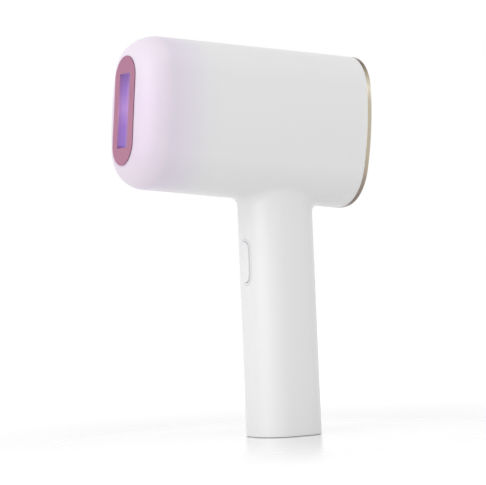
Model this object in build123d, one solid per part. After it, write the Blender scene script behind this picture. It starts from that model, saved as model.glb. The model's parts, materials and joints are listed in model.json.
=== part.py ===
from build123d import *
import math
import os

# A T-shaped intense-pulsed-light hair remover: a barrel head across the top of a straight handle.
# The origin is the middle of the foot that the handle stands on. +Z is up, the light window faces -Y,
# and +X is the flank on the left hand of someone looking out over the window. Millimetres throughout.

# --- driving sizes: handle ---
handle_width = 31.8  # across X at the foot
handle_depth = 32.8  # along Y at the foot
handle_flat = 3.3  # half of the nearly flat stretch in the middle of each side
handle_bulge = 0.3  # how far those stretches swell outwards
handle_draft = 0.3  # each side is this much closer to the axis where the head begins
head_axis_height = 141.65  # where the head's axis crosses the handle's

# --- driving sizes: head (y runs along its axis, 0 over the handle) ---
head_pitch = 5.36  # degrees, the window end is the higher one
head_front = 74.4
head_rear = 39.1
front_width = 45.6
front_height = 68.2
rear_width = 48.2
rear_height = 70.4
crown_flat = 3.36  # half of the nearly flat stretch along the top and the bottom
flank_bulge = 1.44
crown_bulge = 0.3
nose_radius = 13.0
junction_radius = 5.0

# --- shells and fits ---
wall = 2.0
lip = 0.8  # thickness of the tongue where two shells lap
lap = 2.0  # length of that tongue
seat_gap = 0.1  # clearance between parts that plug together
pin_gap = 0.05  # radial clearance of pins, screws and shafts in their holes
board_thickness = 1.2

# --- treatment window and bezel ---
window_width = 10.0
window_height = 33.0
bezel_side = 5.0  # bezel's face beyond the window, to each side
bezel_end = 8.0  # and beyond its top and bottom
bezel_proud = 0.4
bezel_pocket = 1.2
bezel_edge = 0.25
neck_wall = 2.0
neck_corner = 1.5
glass_set_back = 3.4  # front of the glass behind the head's front plane
glass_thickness = 1.6
glass_edge = 1.0  # how far the glass reaches behind the window's rim
seal_width = 2.0

# --- light ring, cooling stack and optics, as depths behind the front plane ---
cap_depth = 11.5
cold_plate_thickness = 2.2
cooler_thickness = 3.0
cooler_width = 7.5
cooler_height = 15.0
hot_plate_thickness = 1.5
cooler_face = 0.7
plate_inset = 6.8  # the plates' edge inside the head's outside
chassis_thickness = 3.0
reflector_side = 0.5  # inside of the reflector beyond the window, to each side
reflector_end = 1.7  # and beyond its top and bottom
reflector_wall = 0.5
lamp_radius = 3.0
lamp_bore = 2.1
lamp_end = 5.8  # how far the lamp's tube runs past the reflector, at each end
lamp_set_back = 18.2
lamp_room = 1.2  # round the reflector and past the lamp's ends, in the chassis
holder_lip = 1.7  # how far a lamp holder lies over the chassis, at each side
led_count = 12
led_size = 2.4
led_height = 1.2
pipe_radius = 2.0
pipe_wall = 0.4
pipe_top = 22.0
pipe_foot = -19.0
pipe_bend = 7.0
fin_count = 15
fin_pitch = 2.2
fin_thickness = 0.8
fin_width = 36.0
fin_depth = 16.0
fin_front = 2.0

# --- rear: trim ring, cover, display, button and fan, as depths in front of the rear plane ---
trim_depth = 2.2
trim_hold = 0.4  # how far the trim ring's band reaches in past the shell's wall
trim_edge = 0.35
cover_recess = 0.4
cover_thickness = 1.8
cover_edge = 0.3
lens_width = 22.0
lens_height = 13.0
lens_thickness = 1.2
lens_corner = 2.0
lens_rim = 1.5
lens_height_up = 20.8
mode_radius = 5.0
mode_edge = 0.4
mode_room = 0.15  # radial clearance in the cover
mode_up = 7.0
mode_proud = 0.3
mode_travel = 0.4
mode_plunger_radius = 1.5
rear_frame_thickness = 2.0
rear_board_back = 7.2
rear_board_width = 24.0
rear_board_height = 28.4
rear_board_up = 13.5
fan_size = 30.0
fan_depth = 10.0
fan_rim = 1.0  # thinnest part of the fan's frame, round its bore
fan_up = -12.0
fan_blades = 7
hub_radius = 6.4
hub_plate = 1.2
bush_radius = 1.5
shaft_radius = 0.75
grille_radius = 12.0
grille_slot = 1.5
grille_pitch = 2.7
peg_radius = 1.3

# --- handle contents ---
foot_lift = 0.3  # the shells end this far above the floor
cap_flange = 1.6
base_thickness = 3.0
base_rim_height = 8.0
jack_bore = 3.15
jack_pin_radius = 1.0
jack_root_radius = 0.8  # where the contact goes through the socket's back
jack_back = 1.0
jack_width = 10.0
jack_height = 9.0
vent_width = 1.2
vent_length = 5.0
vent_pitch = 2.6
vent_row = 8.2  # from the middle of the foot to the middle of a row of vents
capacitor_room = 1.6  # between the capacitor and the nearest shell wall
capacitor_length = 46.0
capacitor_seat = 19.0
trigger_height = 79.5
trigger_board_height = 24.0
trigger_board_width = 20.0
surround_width = 9.5
surround_length = 21.0
button_width = 6.8
button_length = 18.4
button_proud = 0.8
button_travel = 0.6
button_gap = 0.2
button_flange = 1.0
button_edge = 0.35
stop_reach = 1.3  # how far the button's flange stands out from it
surround_proud = 0.15
flange_reach = 1.4
switch_size = 6.0
switch_height = 3.1
plunger_radius = 1.7
plunger_proud = 1.2

# --- power board ---
board_standoff = 4.2  # from the shell's inside to the board's back
power_board_front = -41.0
power_board_length = 40.0
power_board_height = 44.0
core_height = 12.0  # the transformer's core, standing on the board
core_length = 18.0
core_width = 16.0
core_frame = 3.0
core_leg = 5.0
coil_room = 0.2  # round the winding, in the core's windows
core_from_rear = 15.0  # its middle, in front of the board's rear edge

power_lead_radius = 1.1
lead_radius = 0.7

# --- fasteners ---
screw_radius = 1.0
screw_head_radius = 1.9
screw_head_height = 1.4
screw_sunk = 0.2  # how deep a head lies below the face of the plate it holds
foot_screw_sunk = 0.4  # and below the foot
head_room = 0.25  # between a screw's head and the shell it stands beside
frame_screw_x = 7.0
board_screw_in = 4.0  # from the power board's front and rear edges
board_screw_up = 16.0
boss_radius = 2.4
boss_length = 9.0
post_radius = 1.5
post_boss_radius = 3.0
post_boss_length = 9.0
post_sunk = 0.5  # how far a post's boss runs into the wall
post_front = -38.0
post_rear = -3.0

# --- what follows from them ---
bezel_width = window_width + 2 * bezel_side
bezel_height = window_height + 2 * bezel_end
reflector_width = window_width + 2 * reflector_side
reflector_height = window_height + 2 * reflector_end
lamp_length = reflector_height + 2 * lamp_end
capacitor_radius = min(handle_width, handle_depth) / 2 - wall - capacitor_room
fan_bore = fan_size / 2 - fan_rim
neck_end = glass_set_back + glass_thickness
coolers_at = neck_end + cold_plate_thickness
hot_plate_at = coolers_at + cooler_thickness
chassis_at = hot_plate_at + hot_plate_thickness
chassis_end = chassis_at + chassis_thickness
frame_end = rear_board_back + rear_frame_thickness
trim_band = wall + trim_hold
tenon_end = trim_depth + 3.0
trim_inset = wall + seat_gap
tenon_inset = trim_inset + 1.1
cover_inset = trim_band + seat_gap
cover_back = cover_recess + cover_thickness
mode_stop = cover_back + seat_gap
mode_back = mode_stop + 0.8
surround_back = wall + 1.2
button_stop = surround_back + seat_gap
button_back = button_stop + button_flange
neck_width = window_width + 2 * neck_wall
neck_height = window_height + 2 * neck_wall
cap_flange_inset = wall - lip - 0.35
board_plane = wall + board_standoff + board_thickness - front_width / 2
pipe_x = -board_plane - 0.4 - pipe_radius
reflector_outer_width = reflector_width + 2 * reflector_wall
reflector_outer_height = reflector_height + 2 * reflector_wall
lamp_opening_width = reflector_outer_width + 2 * lamp_room
lamp_opening_height = lamp_length + 2 * lamp_room
holder_width = lamp_opening_width + 2 * holder_lip
board_ring_inset = plate_inset - 0.5
handle_top = head_axis_height - 0.65

head_frame = Location((0, 0, head_axis_height), (-head_pitch, 0, 0))


def front(depth):
    """Head y at this depth behind the front plane."""
    return depth - head_front


def rear(depth):
    """Head y at this depth in front of the rear plane."""
    return head_rear - depth


# --- outlines ---
def oval(width, depth, flat, side_bulge, end_bulge, inset):
    """Rounded section of tangent arcs, drawn inset inside a width by depth outside."""
    corner = min(width, depth) / 2 - flat - max(side_bulge, end_bulge)
    centre_x = width / 2 - corner - side_bulge
    centre_y = depth / 2 - corner - end_bulge
    side_radius = (centre_y**2 + side_bulge**2) / (2 * side_bulge)
    end_radius = (centre_x**2 + end_bulge**2) / (2 * end_bulge)
    to_side = Vector(side_radius - side_bulge, centre_y).normalized()
    to_end = Vector(centre_x, end_radius - end_bulge).normalized()
    centre = Vector(centre_x, centre_y)
    radius = corner - inset
    start = centre + to_side * radius
    middle = centre + (to_side + to_end).normalized() * radius
    end = centre + to_end * radius
    arcs = []
    for sx, sy in ((1, 1), (-1, 1), (-1, -1), (1, -1)):
        near, mid, far = [Vector(sx * p.X, sy * p.Y) for p in (start, middle, end)]
        if sx * sy > 0:
            arcs.append(ThreePointArc(near, mid, far))
            arcs.append(ThreePointArc(far, (0, sy * (depth / 2 - inset)), (-far.X, far.Y)))
        else:
            arcs.append(ThreePointArc(far, mid, near))
            arcs.append(ThreePointArc(near, (sx * (width / 2 - inset), 0), (near.X, -near.Y)))
    return Face(Wire(arcs))


def head_section(y, inset):
    share = (y + head_front) / (head_front + head_rear)
    width = front_width + (rear_width - front_width) * share
    height = front_height + (rear_height - front_height) * share
    return oval(width, height, crown_flat, flank_bulge, crown_bulge, inset)


def head_plane(y):
    """Plane across the head, with local x to +X and local y up."""
    return Plane(origin=(0, y, 0), x_dir=(1, 0, 0), z_dir=(0, -1, 0))


def plug(inset, y_front, y_back):
    """Solid that fills the head between two depths, inset inside its outside."""
    sections = [head_plane(y) * head_section(y, inset) for y in (y_front, y_back)]
    return loft(sections, ruled=True)


def barrel(inset, y_back):
    """Head with its rounded nose, inset inside the outside."""
    solid = plug(inset, inset - head_front, y_back)
    return fillet(solid.faces().sort_by(Axis.Y)[0].edges(), nose_radius - inset)


def slab(outline, y_front, y_back):
    """Outline across the head, made solid between two depths."""
    return extrude(head_plane(y_back) * outline, y_back - y_front)


def grip(inset, z_low, z_high):
    """Handle between two heights, inset inside its outside."""
    sections = []
    for z in (z_low, z_high):
        drawn_in = inset + handle_draft * z / handle_top
        outline = oval(handle_width, handle_depth, handle_flat, handle_bulge, handle_bulge, drawn_in)
        sections.append(Pos(0, 0, z) * outline)
    return loft(sections, ruled=True)


def obround(width, height):
    return Rot(0, 0, 90) * SlotOverall(height, width)


def crown(y, x, inset):
    """Height of the head's section at x, past the flat of its crown."""
    share = (y + head_front) / (head_front + head_rear)
    width = front_width + (rear_width - front_width) * share
    height = front_height + (rear_height - front_height) * share
    corner = width / 2 - crown_flat - flank_bulge
    return height / 2 - corner - crown_bulge + math.sqrt((corner - inset) ** 2 - (x - crown_flat) ** 2)


def group(solids):
    return Compound(children=[s for shape in solids for s in shape.solids()])


def mirrored_pair(solid, plane):
    return [solid, mirror(solid, about=plane)]


def screw(length, head_radius=screw_head_radius, head_height=screw_head_height, radius=screw_radius):
    """Cross-head screw, its head's seat at the origin, its shank along -Z."""
    head = Pos(0, 0, head_height / 2) * Cylinder(head_radius, head_height)
    head = fillet(head.edges().group_by(Axis.Z)[-1], head_height * 0.3)
    shank = Pos(0, 0, -length / 2) * Cylinder(radius, length)
    slot = Pos(0, 0, head_height) * Box(head_radius * 1.3, head_radius * 0.3, head_height * 0.9)
    return head + shank - slot - Rot(0, 0, 90) * slot


def tube_along(path, radius, bore=0.0):
    """Round rod or tube swept along a path of straight runs and arcs."""
    section = Plane(origin=path @ 0, z_dir=path % 0) * Circle(radius)
    if bore:
        section -= Plane(origin=path @ 0, z_dir=path % 0) * Circle(bore)
    return sweep(section, path)


# --- screw and post places, tied to the shells that carry them ---
boss_inset = wall + screw_head_radius + head_room
chassis_screw_x = holder_width / 2 + boss_radius + 0.4
chassis_screw_z = crown(front(chassis_at), chassis_screw_x, boss_inset)
frame_screw_z = crown(rear(frame_end), frame_screw_x, boss_inset)
chassis_screws_at = [(x * chassis_screw_x, z * chassis_screw_z) for x in (-1, 1) for z in (-1, 1)]
frame_screws_at = [(x * frame_screw_x, z * frame_screw_z) for x in (-1, 1) for z in (-1, 1)]
clamp_screw_z = neck_height / 2 + seal_width + screw_head_radius + 1.0
base_screw_x = handle_width / 2 - wall - boss_radius - 1.2
board_rear = power_board_front + power_board_length
board_screw_y = (power_board_front + board_screw_in, board_rear - board_screw_in)
board_screws_at = [(y, z * board_screw_up) for y in board_screw_y for z in (-1, 1)]
peg_places = [(17.5, -10.0), (16.0, 16.0)]
transformer_y = board_rear - core_from_rear
transformer_place = Pos(board_plane + core_height / 2, transformer_y, 0)
fan_hole = fan_size / 2 - 3.0
fan_screws_at = [(x * fan_hole, fan_up + z * fan_hole) for x in (-1, 1) for z in (-1, 1)]


# --- shells ---
def outside():
    """The whole outside of head and handle, with the rounded junction between them."""
    head = head_frame * barrel(0, rear(trim_depth))
    handle = grip(0, foot_lift, handle_top)
    body = head + handle
    seam = new_edges(head, handle, combined=body)
    return fillet(seam, junction_radius)


def alignment_posts(radius, reach):
    """Round posts across the split plane that line the two shells up."""
    posts = []
    for y, side in ((post_front, 1), (post_front, -1), (post_rear, 1)):
        z = side * (crown(y, 4.0, wall) - post_boss_radius + post_sunk)
        posts.append(head_frame * (Pos(0, y, z) * Rot(0, 90, 0) * Cylinder(radius, reach)))
    y = handle_depth / 2 - handle_draft - wall - post_boss_radius + post_sunk
    for z in (trigger_height - 5.0, trigger_height + 20.0):
        posts.append(Pos(0, y, z) * Rot(0, 90, 0) * Cylinder(radius, reach))
    return posts


def housing_bosses(shape):
    """Screw bosses for the chassis, the rear frame, the power board and the base cap."""
    bosses = []
    boss = Rot(90, 0, 0) * Cylinder(boss_radius, boss_length)
    for x, z in chassis_screws_at:
        bosses.append(head_frame * (Pos(x, front(chassis_end) + boss_length / 2, z) * boss))
    for x, z in frame_screws_at:
        bosses.append(head_frame * (Pos(x, rear(frame_end) - boss_length / 2, z) * boss))
    board_back = board_plane - board_thickness
    for y, z in board_screws_at:
        post = Pos(board_back - 4, y, z) * Rot(0, 90, 0) * Cylinder(boss_radius, 8)
        bosses.append(head_frame * post)
    for x in (-base_screw_x, base_screw_x):
        post = Pos(x, 0, base_thickness + 5) * Cylinder(boss_radius, 10)
        web = Pos(math.copysign(handle_width / 2 - 3, x), 0, base_thickness + 5) * Box(4, 2.4, 10)
        bosses += [post, web]
    return [boss & shape for boss in bosses]


def screw_holes():
    """Pilot holes in those bosses."""
    radius = screw_radius + pin_gap
    hole = Rot(90, 0, 0) * Cylinder(radius, boss_length)
    holes = []
    for x, z in chassis_screws_at:
        holes.append(head_frame * (Pos(x, front(chassis_end) + boss_length / 2 - 1, z) * hole))
    for x, z in frame_screws_at:
        holes.append(head_frame * (Pos(x, rear(frame_end) - boss_length / 2 + 1, z) * hole))
    for y, z in board_screws_at:
        holes.append(head_frame * (Pos(board_plane - 2, y, z) * Rot(0, 90, 0) * Cylinder(radius, 5)))
    for x in (-base_screw_x, base_screw_x):
        holes.append(Pos(x, 0, base_thickness + 4) * Cylinder(radius, 10))
    return holes


def capacitor_ribs():
    """Rings in the handle: one that the capacitor stands on, two round it and one over it."""
    hold = capacitor_radius + seat_gap
    top = capacitor_seat + capacitor_length
    ribs = []
    for low, thickness, opening in (
        (capacitor_seat - 2.0, 2.0, capacitor_radius - 2.5),
        (capacitor_seat + 6.0, 1.5, hold),
        (top - 9.0, 1.5, hold),
        (top + seat_gap, 1.5, capacitor_radius - 2.5),
    ):
        ring = grip(wall / 2, low, low + thickness)
        ring -= Pos(0, 0, low + thickness / 2) * Cylinder(opening, thickness + 1)
        ribs.append(ring)
    return ribs


def trigger_rails(shape):
    """A grooved rail on each side of the handle that the trigger board slides down."""
    middle = trigger_board_back() - board_thickness / 2
    edge = trigger_board_width / 2
    reach = handle_width / 2 - edge + 1
    rail = Pos(edge - 1 + reach / 2, middle, trigger_height) * Box(reach, 4, trigger_board_height - 2)
    groove = Pos(edge - 1, middle, trigger_height) * Box(2 + 4 * seat_gap, board_thickness + seat_gap, 30)
    rail = (rail - groove) & shape
    return mirrored_pair(rail, Plane.YZ)


def trigger_front(inset):
    """Y of the handle's front at the trigger, inset inside its outside."""
    return -(handle_depth / 2 - handle_draft * trigger_height / handle_top - inset)


def trigger_board_back():
    """Y of the trigger board's back face."""
    return trigger_front(button_back) + plunger_proud + switch_height + board_thickness


def housings():
    """The two moulded half shells, split down the middle of the head and the handle."""
    whole = outside()
    front_cut = head_frame * slab(Rectangle(200, 200), front(-20), front(cap_depth))
    shell = whole - front_cut
    tongue = plug(wall - lip, front(cap_depth - lap), front(cap_depth + 1))
    shell += head_frame * tongue
    cavity = head_frame * barrel(wall, rear(-5))
    bore = grip(wall, -5, handle_top)
    inner = cavity + bore
    shell -= inner
    shell -= grip(cap_flange_inset - seat_gap, -5, cap_flange)
    inside_wall = whole & (head_frame * plug(wall / 2, front(chassis_at), rear(trim_depth)))
    inside_wall += grip(wall / 2, cap_flange + 1, handle_top)
    for boss in housing_bosses(inside_wall):
        shell += boss
    for rib in capacitor_ribs() + trigger_rails(inside_wall):
        shell += rib
    for post in alignment_posts(post_boss_radius, post_boss_length):
        shell += post
    for hole in screw_holes():
        shell -= hole
    shell -= tube_along(power_lead_path(), power_lead_radius + 0.5)
    opening = obround(surround_width + 2 * seat_gap, surround_length + 2 * seat_gap)
    shell -= Pos(0, 0, trigger_height) * extrude(Plane.XZ * opening, handle_depth)
    left = split(shell, bisect_by=Plane.YZ, keep=Keep.TOP)
    right = split(shell, bisect_by=Plane.YZ, keep=Keep.BOTTOM)
    for post in alignment_posts(post_radius, post_boss_length - 3):
        right += post
    for socket in alignment_posts(post_radius + pin_gap, post_boss_length - 2):
        left -= socket
    return left, right


def light_ring_cap():
    """Translucent cap over the front of the head that spreads the light of the glow ring."""
    cap = barrel(0, front(cap_depth + 5))
    cap -= slab(Rectangle(200, 200), front(cap_depth), front(cap_depth + 20))
    cap -= barrel(wall, front(cap_depth + 5))
    cap -= plug(wall - lip - seat_gap, front(cap_depth - lap - seat_gap), front(cap_depth + 1))
    pocket = obround(bezel_width + 2 * seat_gap, bezel_height + 2 * seat_gap)
    cap -= slab(pocket, front(-1), front(bezel_pocket))
    neck = RectangleRounded(neck_width + 2 * seat_gap, neck_height + 2 * seat_gap, neck_corner + seat_gap)
    cap -= slab(neck, front(-1), front(neck_end))
    return head_frame * cap


# --- treatment window ---
def bezel():
    """Anodised bezel: an obround face with a neck that frames the window's recess."""
    face = slab(obround(bezel_width, bezel_height), front(-bezel_proud), front(bezel_pocket))
    face = fillet(face.faces().sort_by(Axis.Y)[0].edges(), bezel_edge)
    neck = RectangleRounded(neck_width, neck_height, neck_corner)
    neck = slab(neck, front(bezel_pocket), front(neck_end))
    opening = slab(Rectangle(window_width, window_height), front(-2), front(neck_end + 1))
    rebate = Rectangle(
        window_width + 2 * (glass_edge + seat_gap), window_height + 2 * (glass_edge + seat_gap)
    )
    return head_frame * (face + neck - opening - slab(rebate, front(glass_set_back), front(neck_end + 1)))


def filter_window():
    pane = Rectangle(window_width + 2 * glass_edge, window_height + 2 * glass_edge)
    return head_frame * slab(pane, front(glass_set_back), front(neck_end))


def bezel_seal():
    """Silicone frame round the bezel's neck, between the cap and the cold plate."""
    ring = RectangleRounded(neck_width + 2 * seal_width, neck_height + 2 * seal_width, 3)
    ring -= RectangleRounded(neck_width + 2 * seat_gap, neck_height + 2 * seat_gap, neck_corner + seat_gap)
    ring = slab(ring, front(wall + seat_gap), front(neck_end))
    return head_frame * (ring & barrel(wall + seat_gap, front(nose_radius + chassis_end)))


# --- cooling stack ---
def clamp_places():
    return [(0, -clamp_screw_z), (0, clamp_screw_z)]


def cold_plate():
    """Plate behind the glass that the coolers chill, open for the light."""
    plate = plug(plate_inset, front(neck_end), front(coolers_at))
    plate -= slab(Rectangle(window_width, window_height), front(neck_end - 1), front(coolers_at + 1))
    for x, z in clamp_places():
        place = Pos(x, front(neck_end), z) * Rot(90, 0, 0)
        plate -= place * Cylinder(screw_head_radius + seat_gap, 2 * (screw_head_height + screw_sunk))
        plate -= place * Cylinder(screw_radius + pin_gap, 20)
    return head_frame * plate


def cooler_modules():
    """Four thermoelectric coolers, each a core between two ceramic faces."""
    modules = []
    offset = reflector_outer_width / 2 + cooler_width / 2 + 0.8
    for x in (-offset, offset):
        for z in (-cooler_height / 2 - 1.5, cooler_height / 2 + 1.5):
            outline = Pos(x, z) * Rectangle(cooler_width, cooler_height)
            core = Pos(x, z) * Rectangle(cooler_width - 1.6, cooler_height - 1.6)
            module = slab(core, front(coolers_at), front(hot_plate_at))
            module += slab(outline, front(coolers_at), front(coolers_at + cooler_face))
            module += slab(outline, front(hot_plate_at - cooler_face), front(hot_plate_at))
            modules.append(head_frame * module)
    return group(modules)


def hot_plate():
    """Plate behind the coolers, slotted for the reflector, that the heat pipes lie on."""
    plate = plug(plate_inset, front(hot_plate_at), front(chassis_at))
    slot = Rectangle(reflector_outer_width + 0.6, reflector_outer_height + 0.6)
    plate -= slab(slot, front(hot_plate_at - 1), front(chassis_at + 1))
    for x, z in clamp_places():
        plate -= Pos(x, front(hot_plate_at), z) * Rot(90, 0, 0) * Cylinder(screw_radius + pin_gap, 20)
    return head_frame * plate


def clamp_screws():
    """Two screws that squeeze the coolers between the cold and the hot plate."""
    length = chassis_at - neck_end - screw_head_height - screw_sunk
    y = front(neck_end + screw_head_height + screw_sunk)
    one = Rot(90, 0, 0) * screw(length)
    return group([head_frame * (Pos(x, y, z) * one) for x, z in clamp_places()])


def heat_pipe_path(x):
    """Up the back of the hot plate, back along the head and down through the fins."""
    y_plate = front(chassis_at) + pipe_radius
    y_fins = fin_front + fin_depth / 2
    points = [
        (x, y_plate, pipe_foot),
        (x, y_plate, pipe_top),
        (x, y_fins, pipe_top),
        (x, y_fins, pipe_foot),
    ]
    return FilletPolyline(*points, radius=pipe_bend)


def heat_pipes():
    pipes = []
    for x in (-pipe_x, pipe_x):
        pipes.append(head_frame * tube_along(heat_pipe_path(x), pipe_radius, pipe_radius - pipe_wall))
    return group(pipes)


def cooling_fins():
    """Stack of thin plates threaded on the heat pipes in front of the fan."""
    plate = Pos(0, fin_front + fin_depth / 2) * RectangleRounded(fin_width, fin_depth, 1)
    for x in (-pipe_x, pipe_x):
        plate -= Pos(x, fin_front + fin_depth / 2) * Circle(pipe_radius + pin_gap)
    fins = []
    low = pipe_foot + 1.0
    for i in range(fin_count):
        fins.append(head_frame * (Pos(0, 0, low + i * fin_pitch) * extrude(plate, fin_thickness)))
    return group(fins)


# --- optics ---
def optics_chassis():
    """Moulded frame across the head that the plates, the lamp and the glow ring are fixed to."""
    chassis = plug(wall + seat_gap, front(chassis_at), front(chassis_end))
    chassis &= barrel(wall + seat_gap, front(chassis_end + nose_radius))
    opening = Rectangle(lamp_opening_width, lamp_opening_height)
    chassis -= slab(opening, front(chassis_at - 1), front(chassis_end + 1))
    slot_height = pipe_top + pipe_radius + 0.3 - pipe_foot + 1
    slot_middle = (pipe_top + pipe_radius + 0.3 + pipe_foot - 1) / 2
    for x in (-pipe_x, pipe_x):
        slot = Pos(x, slot_middle) * Rectangle(2 * pipe_radius + 0.4, slot_height)
        chassis -= slab(slot, front(chassis_at - 1), front(chassis_end + 1))
    for x, z in chassis_screws_at:
        place = Pos(x, front(chassis_at), z) * Rot(90, 0, 0)
        chassis -= place * Cylinder(screw_head_radius + seat_gap, 2 * (screw_head_height + seat_gap))
        chassis -= place * Cylinder(screw_radius + pin_gap, 20)
    return head_frame * chassis


def chassis_screws():
    y = front(chassis_at + screw_head_height + seat_gap)
    length = chassis_end - chassis_at - screw_head_height - seat_gap + boss_length - 2
    one = Rot(90, 0, 0) * screw(length)
    return group([head_frame * (Pos(x, y, z) * one) for x, z in chassis_screws_at])


def reflector():
    """Polished trough round the back of the lamp, open towards the window."""
    y_lamp = front(lamp_set_back)
    y_mouth = front(coolers_at)

    def trough(half_width, length):
        side = Pos(0, (y_mouth + y_lamp) / 2, 0) * Box(2 * half_width, y_lamp - y_mouth, length)
        return side + Pos(0, y_lamp, 0) * Cylinder(half_width, length)

    inner = trough(reflector_width / 2, reflector_height)
    inner += Pos(0, y_mouth - 1, 0) * Box(reflector_width, 4, reflector_height)
    outer = trough(reflector_outer_width / 2, reflector_outer_height)
    lamp_way = Pos(0, y_lamp, 0) * Cylinder(lamp_radius + 0.3, lamp_length)
    return head_frame * (outer - inner - lamp_way)


def flash_lamp():
    tube = Cylinder(lamp_radius, lamp_length) - Cylinder(lamp_bore, lamp_length)
    return head_frame * (Pos(0, front(lamp_set_back), 0) * tube)


def lamp_electrodes():
    """Metal end plugs of the lamp, each with a connecting pin."""
    inside = Pos(0, 0, lamp_length / 2 - 3) * Cylinder(lamp_bore - pin_gap, 6)
    pin = Pos(0, 0, lamp_length / 2 + 1.5) * Cylinder(0.7, 3)
    plug_and_pin = Pos(0, front(lamp_set_back), 0) * (inside + pin)
    return group([head_frame * s for s in mirrored_pair(plug_and_pin, Plane.XY)])


def lamp_holders():
    """Heat-proof blocks that carry the lamp's ends on the chassis."""
    low = reflector_outer_height / 2 + 0.3
    high = lamp_opening_height / 2 - 0.2
    middle = (low + high) / 2
    body = Pos(0, middle) * Rectangle(lamp_opening_width - 0.4, high - low)
    flange = Pos(0, middle) * Rectangle(holder_width, high - low)
    holder = slab(body, front(chassis_at + 0.3), front(chassis_end))
    holder += slab(flange, front(chassis_end), front(lamp_set_back + lamp_radius + 1))
    holder -= Pos(0, front(lamp_set_back), middle) * Cylinder(lamp_radius + pin_gap, 20)
    return group([head_frame * s for s in mirrored_pair(holder, Plane.XY)])


def glow_board():
    """Ring-shaped circuit board behind the translucent cap."""
    back = front(chassis_at)
    ring = plug(wall + lip, back - board_thickness, back)
    ring -= plug(board_ring_inset, back - board_thickness - 1, back + 1)
    return head_frame * ring


def glow_leds():
    """Lamps of the glow ring, evenly spaced round the board."""
    top = front(chassis_at) - board_thickness
    middle = (wall + lip + board_ring_inset) / 2
    line = (head_plane(top) * head_section(top, middle)).outer_wire()
    chips = []
    for i in range(led_count):
        place = line @ ((i + 0.5) / led_count)
        chip = Pos(place.X, top - led_height / 2, place.Z) * Box(led_size, led_height, led_size)
        chips.append(head_frame * chip)
    return group(chips)


# --- power electronics ---
def power_board():
    board = Pos(board_plane - board_thickness / 2, power_board_front + power_board_length / 2, 0)
    board *= Box(board_thickness, power_board_length, power_board_height)
    for y, z in board_screws_at:
        board -= Pos(board_plane, y, z) * Rot(0, 90, 0) * Cylinder(screw_radius + pin_gap, 6)
    return head_frame * board


def board_screws():
    length = board_thickness + 2.6
    one = Rot(0, 90, 0) * screw(length)
    return group([head_frame * (Pos(board_plane, y, z) * one) for y, z in board_screws_at])


def charge_transformer():
    """Ferrite core with its winding, which charges the flash capacitor."""
    core = Box(core_height, core_length, core_width)
    core -= Box(core_height + 1, core_length - 2 * core_frame, core_width - 2 * core_frame)
    core += Box(core_height, core_leg, core_width)
    return head_frame * transformer_place * core


def transformer_winding():
    length = core_length - 2 * (core_frame + coil_room)
    coil = Box(core_height - 1, length, core_width - 2 * (core_frame + coil_room))
    coil -= Box(core_height, core_leg + 2 * pin_gap, core_width)
    return group([head_frame * transformer_place * s for s in coil.solids()])


def board_components():
    """Trigger coil, film capacitor and two switching transistors."""
    y = power_board_front
    coil = Pos(board_plane + 4, y + 10.5, 4.5) * Cylinder(4, 9)
    film = Pos(board_plane + 3.5, y + 10.5, -7) * Box(7, 6, 11)
    parts = [coil, film]
    for z in (-4.5, 4.5):
        parts.append(Pos(board_plane + 2.2, y + 37.3, z) * Box(4.4, 4, 6.5))
    return group([head_frame * s for s in parts])


# --- handle contents ---
def storage_capacitor():
    """Flash capacitor can with its rolled groove and two terminals."""
    can = Pos(0, 0, capacitor_seat + capacitor_length / 2) * Cylinder(capacitor_radius, capacitor_length)
    can = fillet(can.edges().group_by(Axis.Z)[-1] + can.edges().group_by(Axis.Z)[0], 0.8)
    can -= Pos(0, 0, capacitor_seat + capacitor_length - 4) * Torus(capacitor_radius + 0.3, 0.8)
    for x in (-4, 4):
        can += Pos(x, 0, capacitor_seat + capacitor_length + 1) * Box(3, 0.8, 4)
    return can


def base_cap():
    """Cap that closes the handle and is its foot, with vents and the pocket for the power socket."""
    cap = grip(cap_flange_inset, 0, cap_flange)
    cap += grip(wall + seat_gap, cap_flange, base_thickness)
    rim = grip(wall + seat_gap, base_thickness, base_rim_height)
    rim -= grip(wall + seat_gap + 1.2, base_thickness - 1, base_rim_height + 1)
    rim -= Pos(0, 0, base_rim_height) * Box(handle_width, 2 * boss_radius + 1, 2 * base_rim_height)
    cap += rim
    for x in (-1, 1):
        wall_x = x * (jack_width / 2 + seat_gap + 0.6)
        cap += Pos(wall_x, 0, base_thickness + 2) * Box(1.2, 5, 4)
        place = Pos(x * base_screw_x, 0, 0)
        cap -= place * Cylinder(screw_head_radius + seat_gap, 2 * (screw_head_height + foot_screw_sunk))
        cap -= place * Cylinder(screw_radius + pin_gap, 20)
    cap -= Cylinder(jack_bore + 0.8, 20)
    for y in (-1, 1):
        for i in range(-2, 3):
            vent = Pos(i * vent_pitch, y * vent_row) * obround(vent_width, vent_length)
            cap -= Pos(0, 0, -1) * extrude(vent, base_thickness + 2)
    return fillet(cap.edges().group_by(Axis.Z)[0].filter_by(lambda e: e.length > 8), 0.2)


def base_screws():
    z = screw_head_height + foot_screw_sunk
    length = base_thickness - z + 7
    places = (-base_screw_x, base_screw_x)
    return group([Pos(x, 0, z) * Rot(180, 0, 0) * screw(length) for x in places])


def dc_jack():
    """Moulded body of the power socket, open downwards."""
    body = Pos(0, 0, base_thickness + jack_height / 2) * Box(jack_width, jack_width - 1, jack_height)
    body -= Pos(0, 0, base_thickness + jack_height / 2 - jack_back) * Cylinder(jack_bore, jack_height)
    body -= Pos(0, 0, base_thickness + jack_height / 2) * Cylinder(jack_root_radius + pin_gap, 30)
    return body


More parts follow.
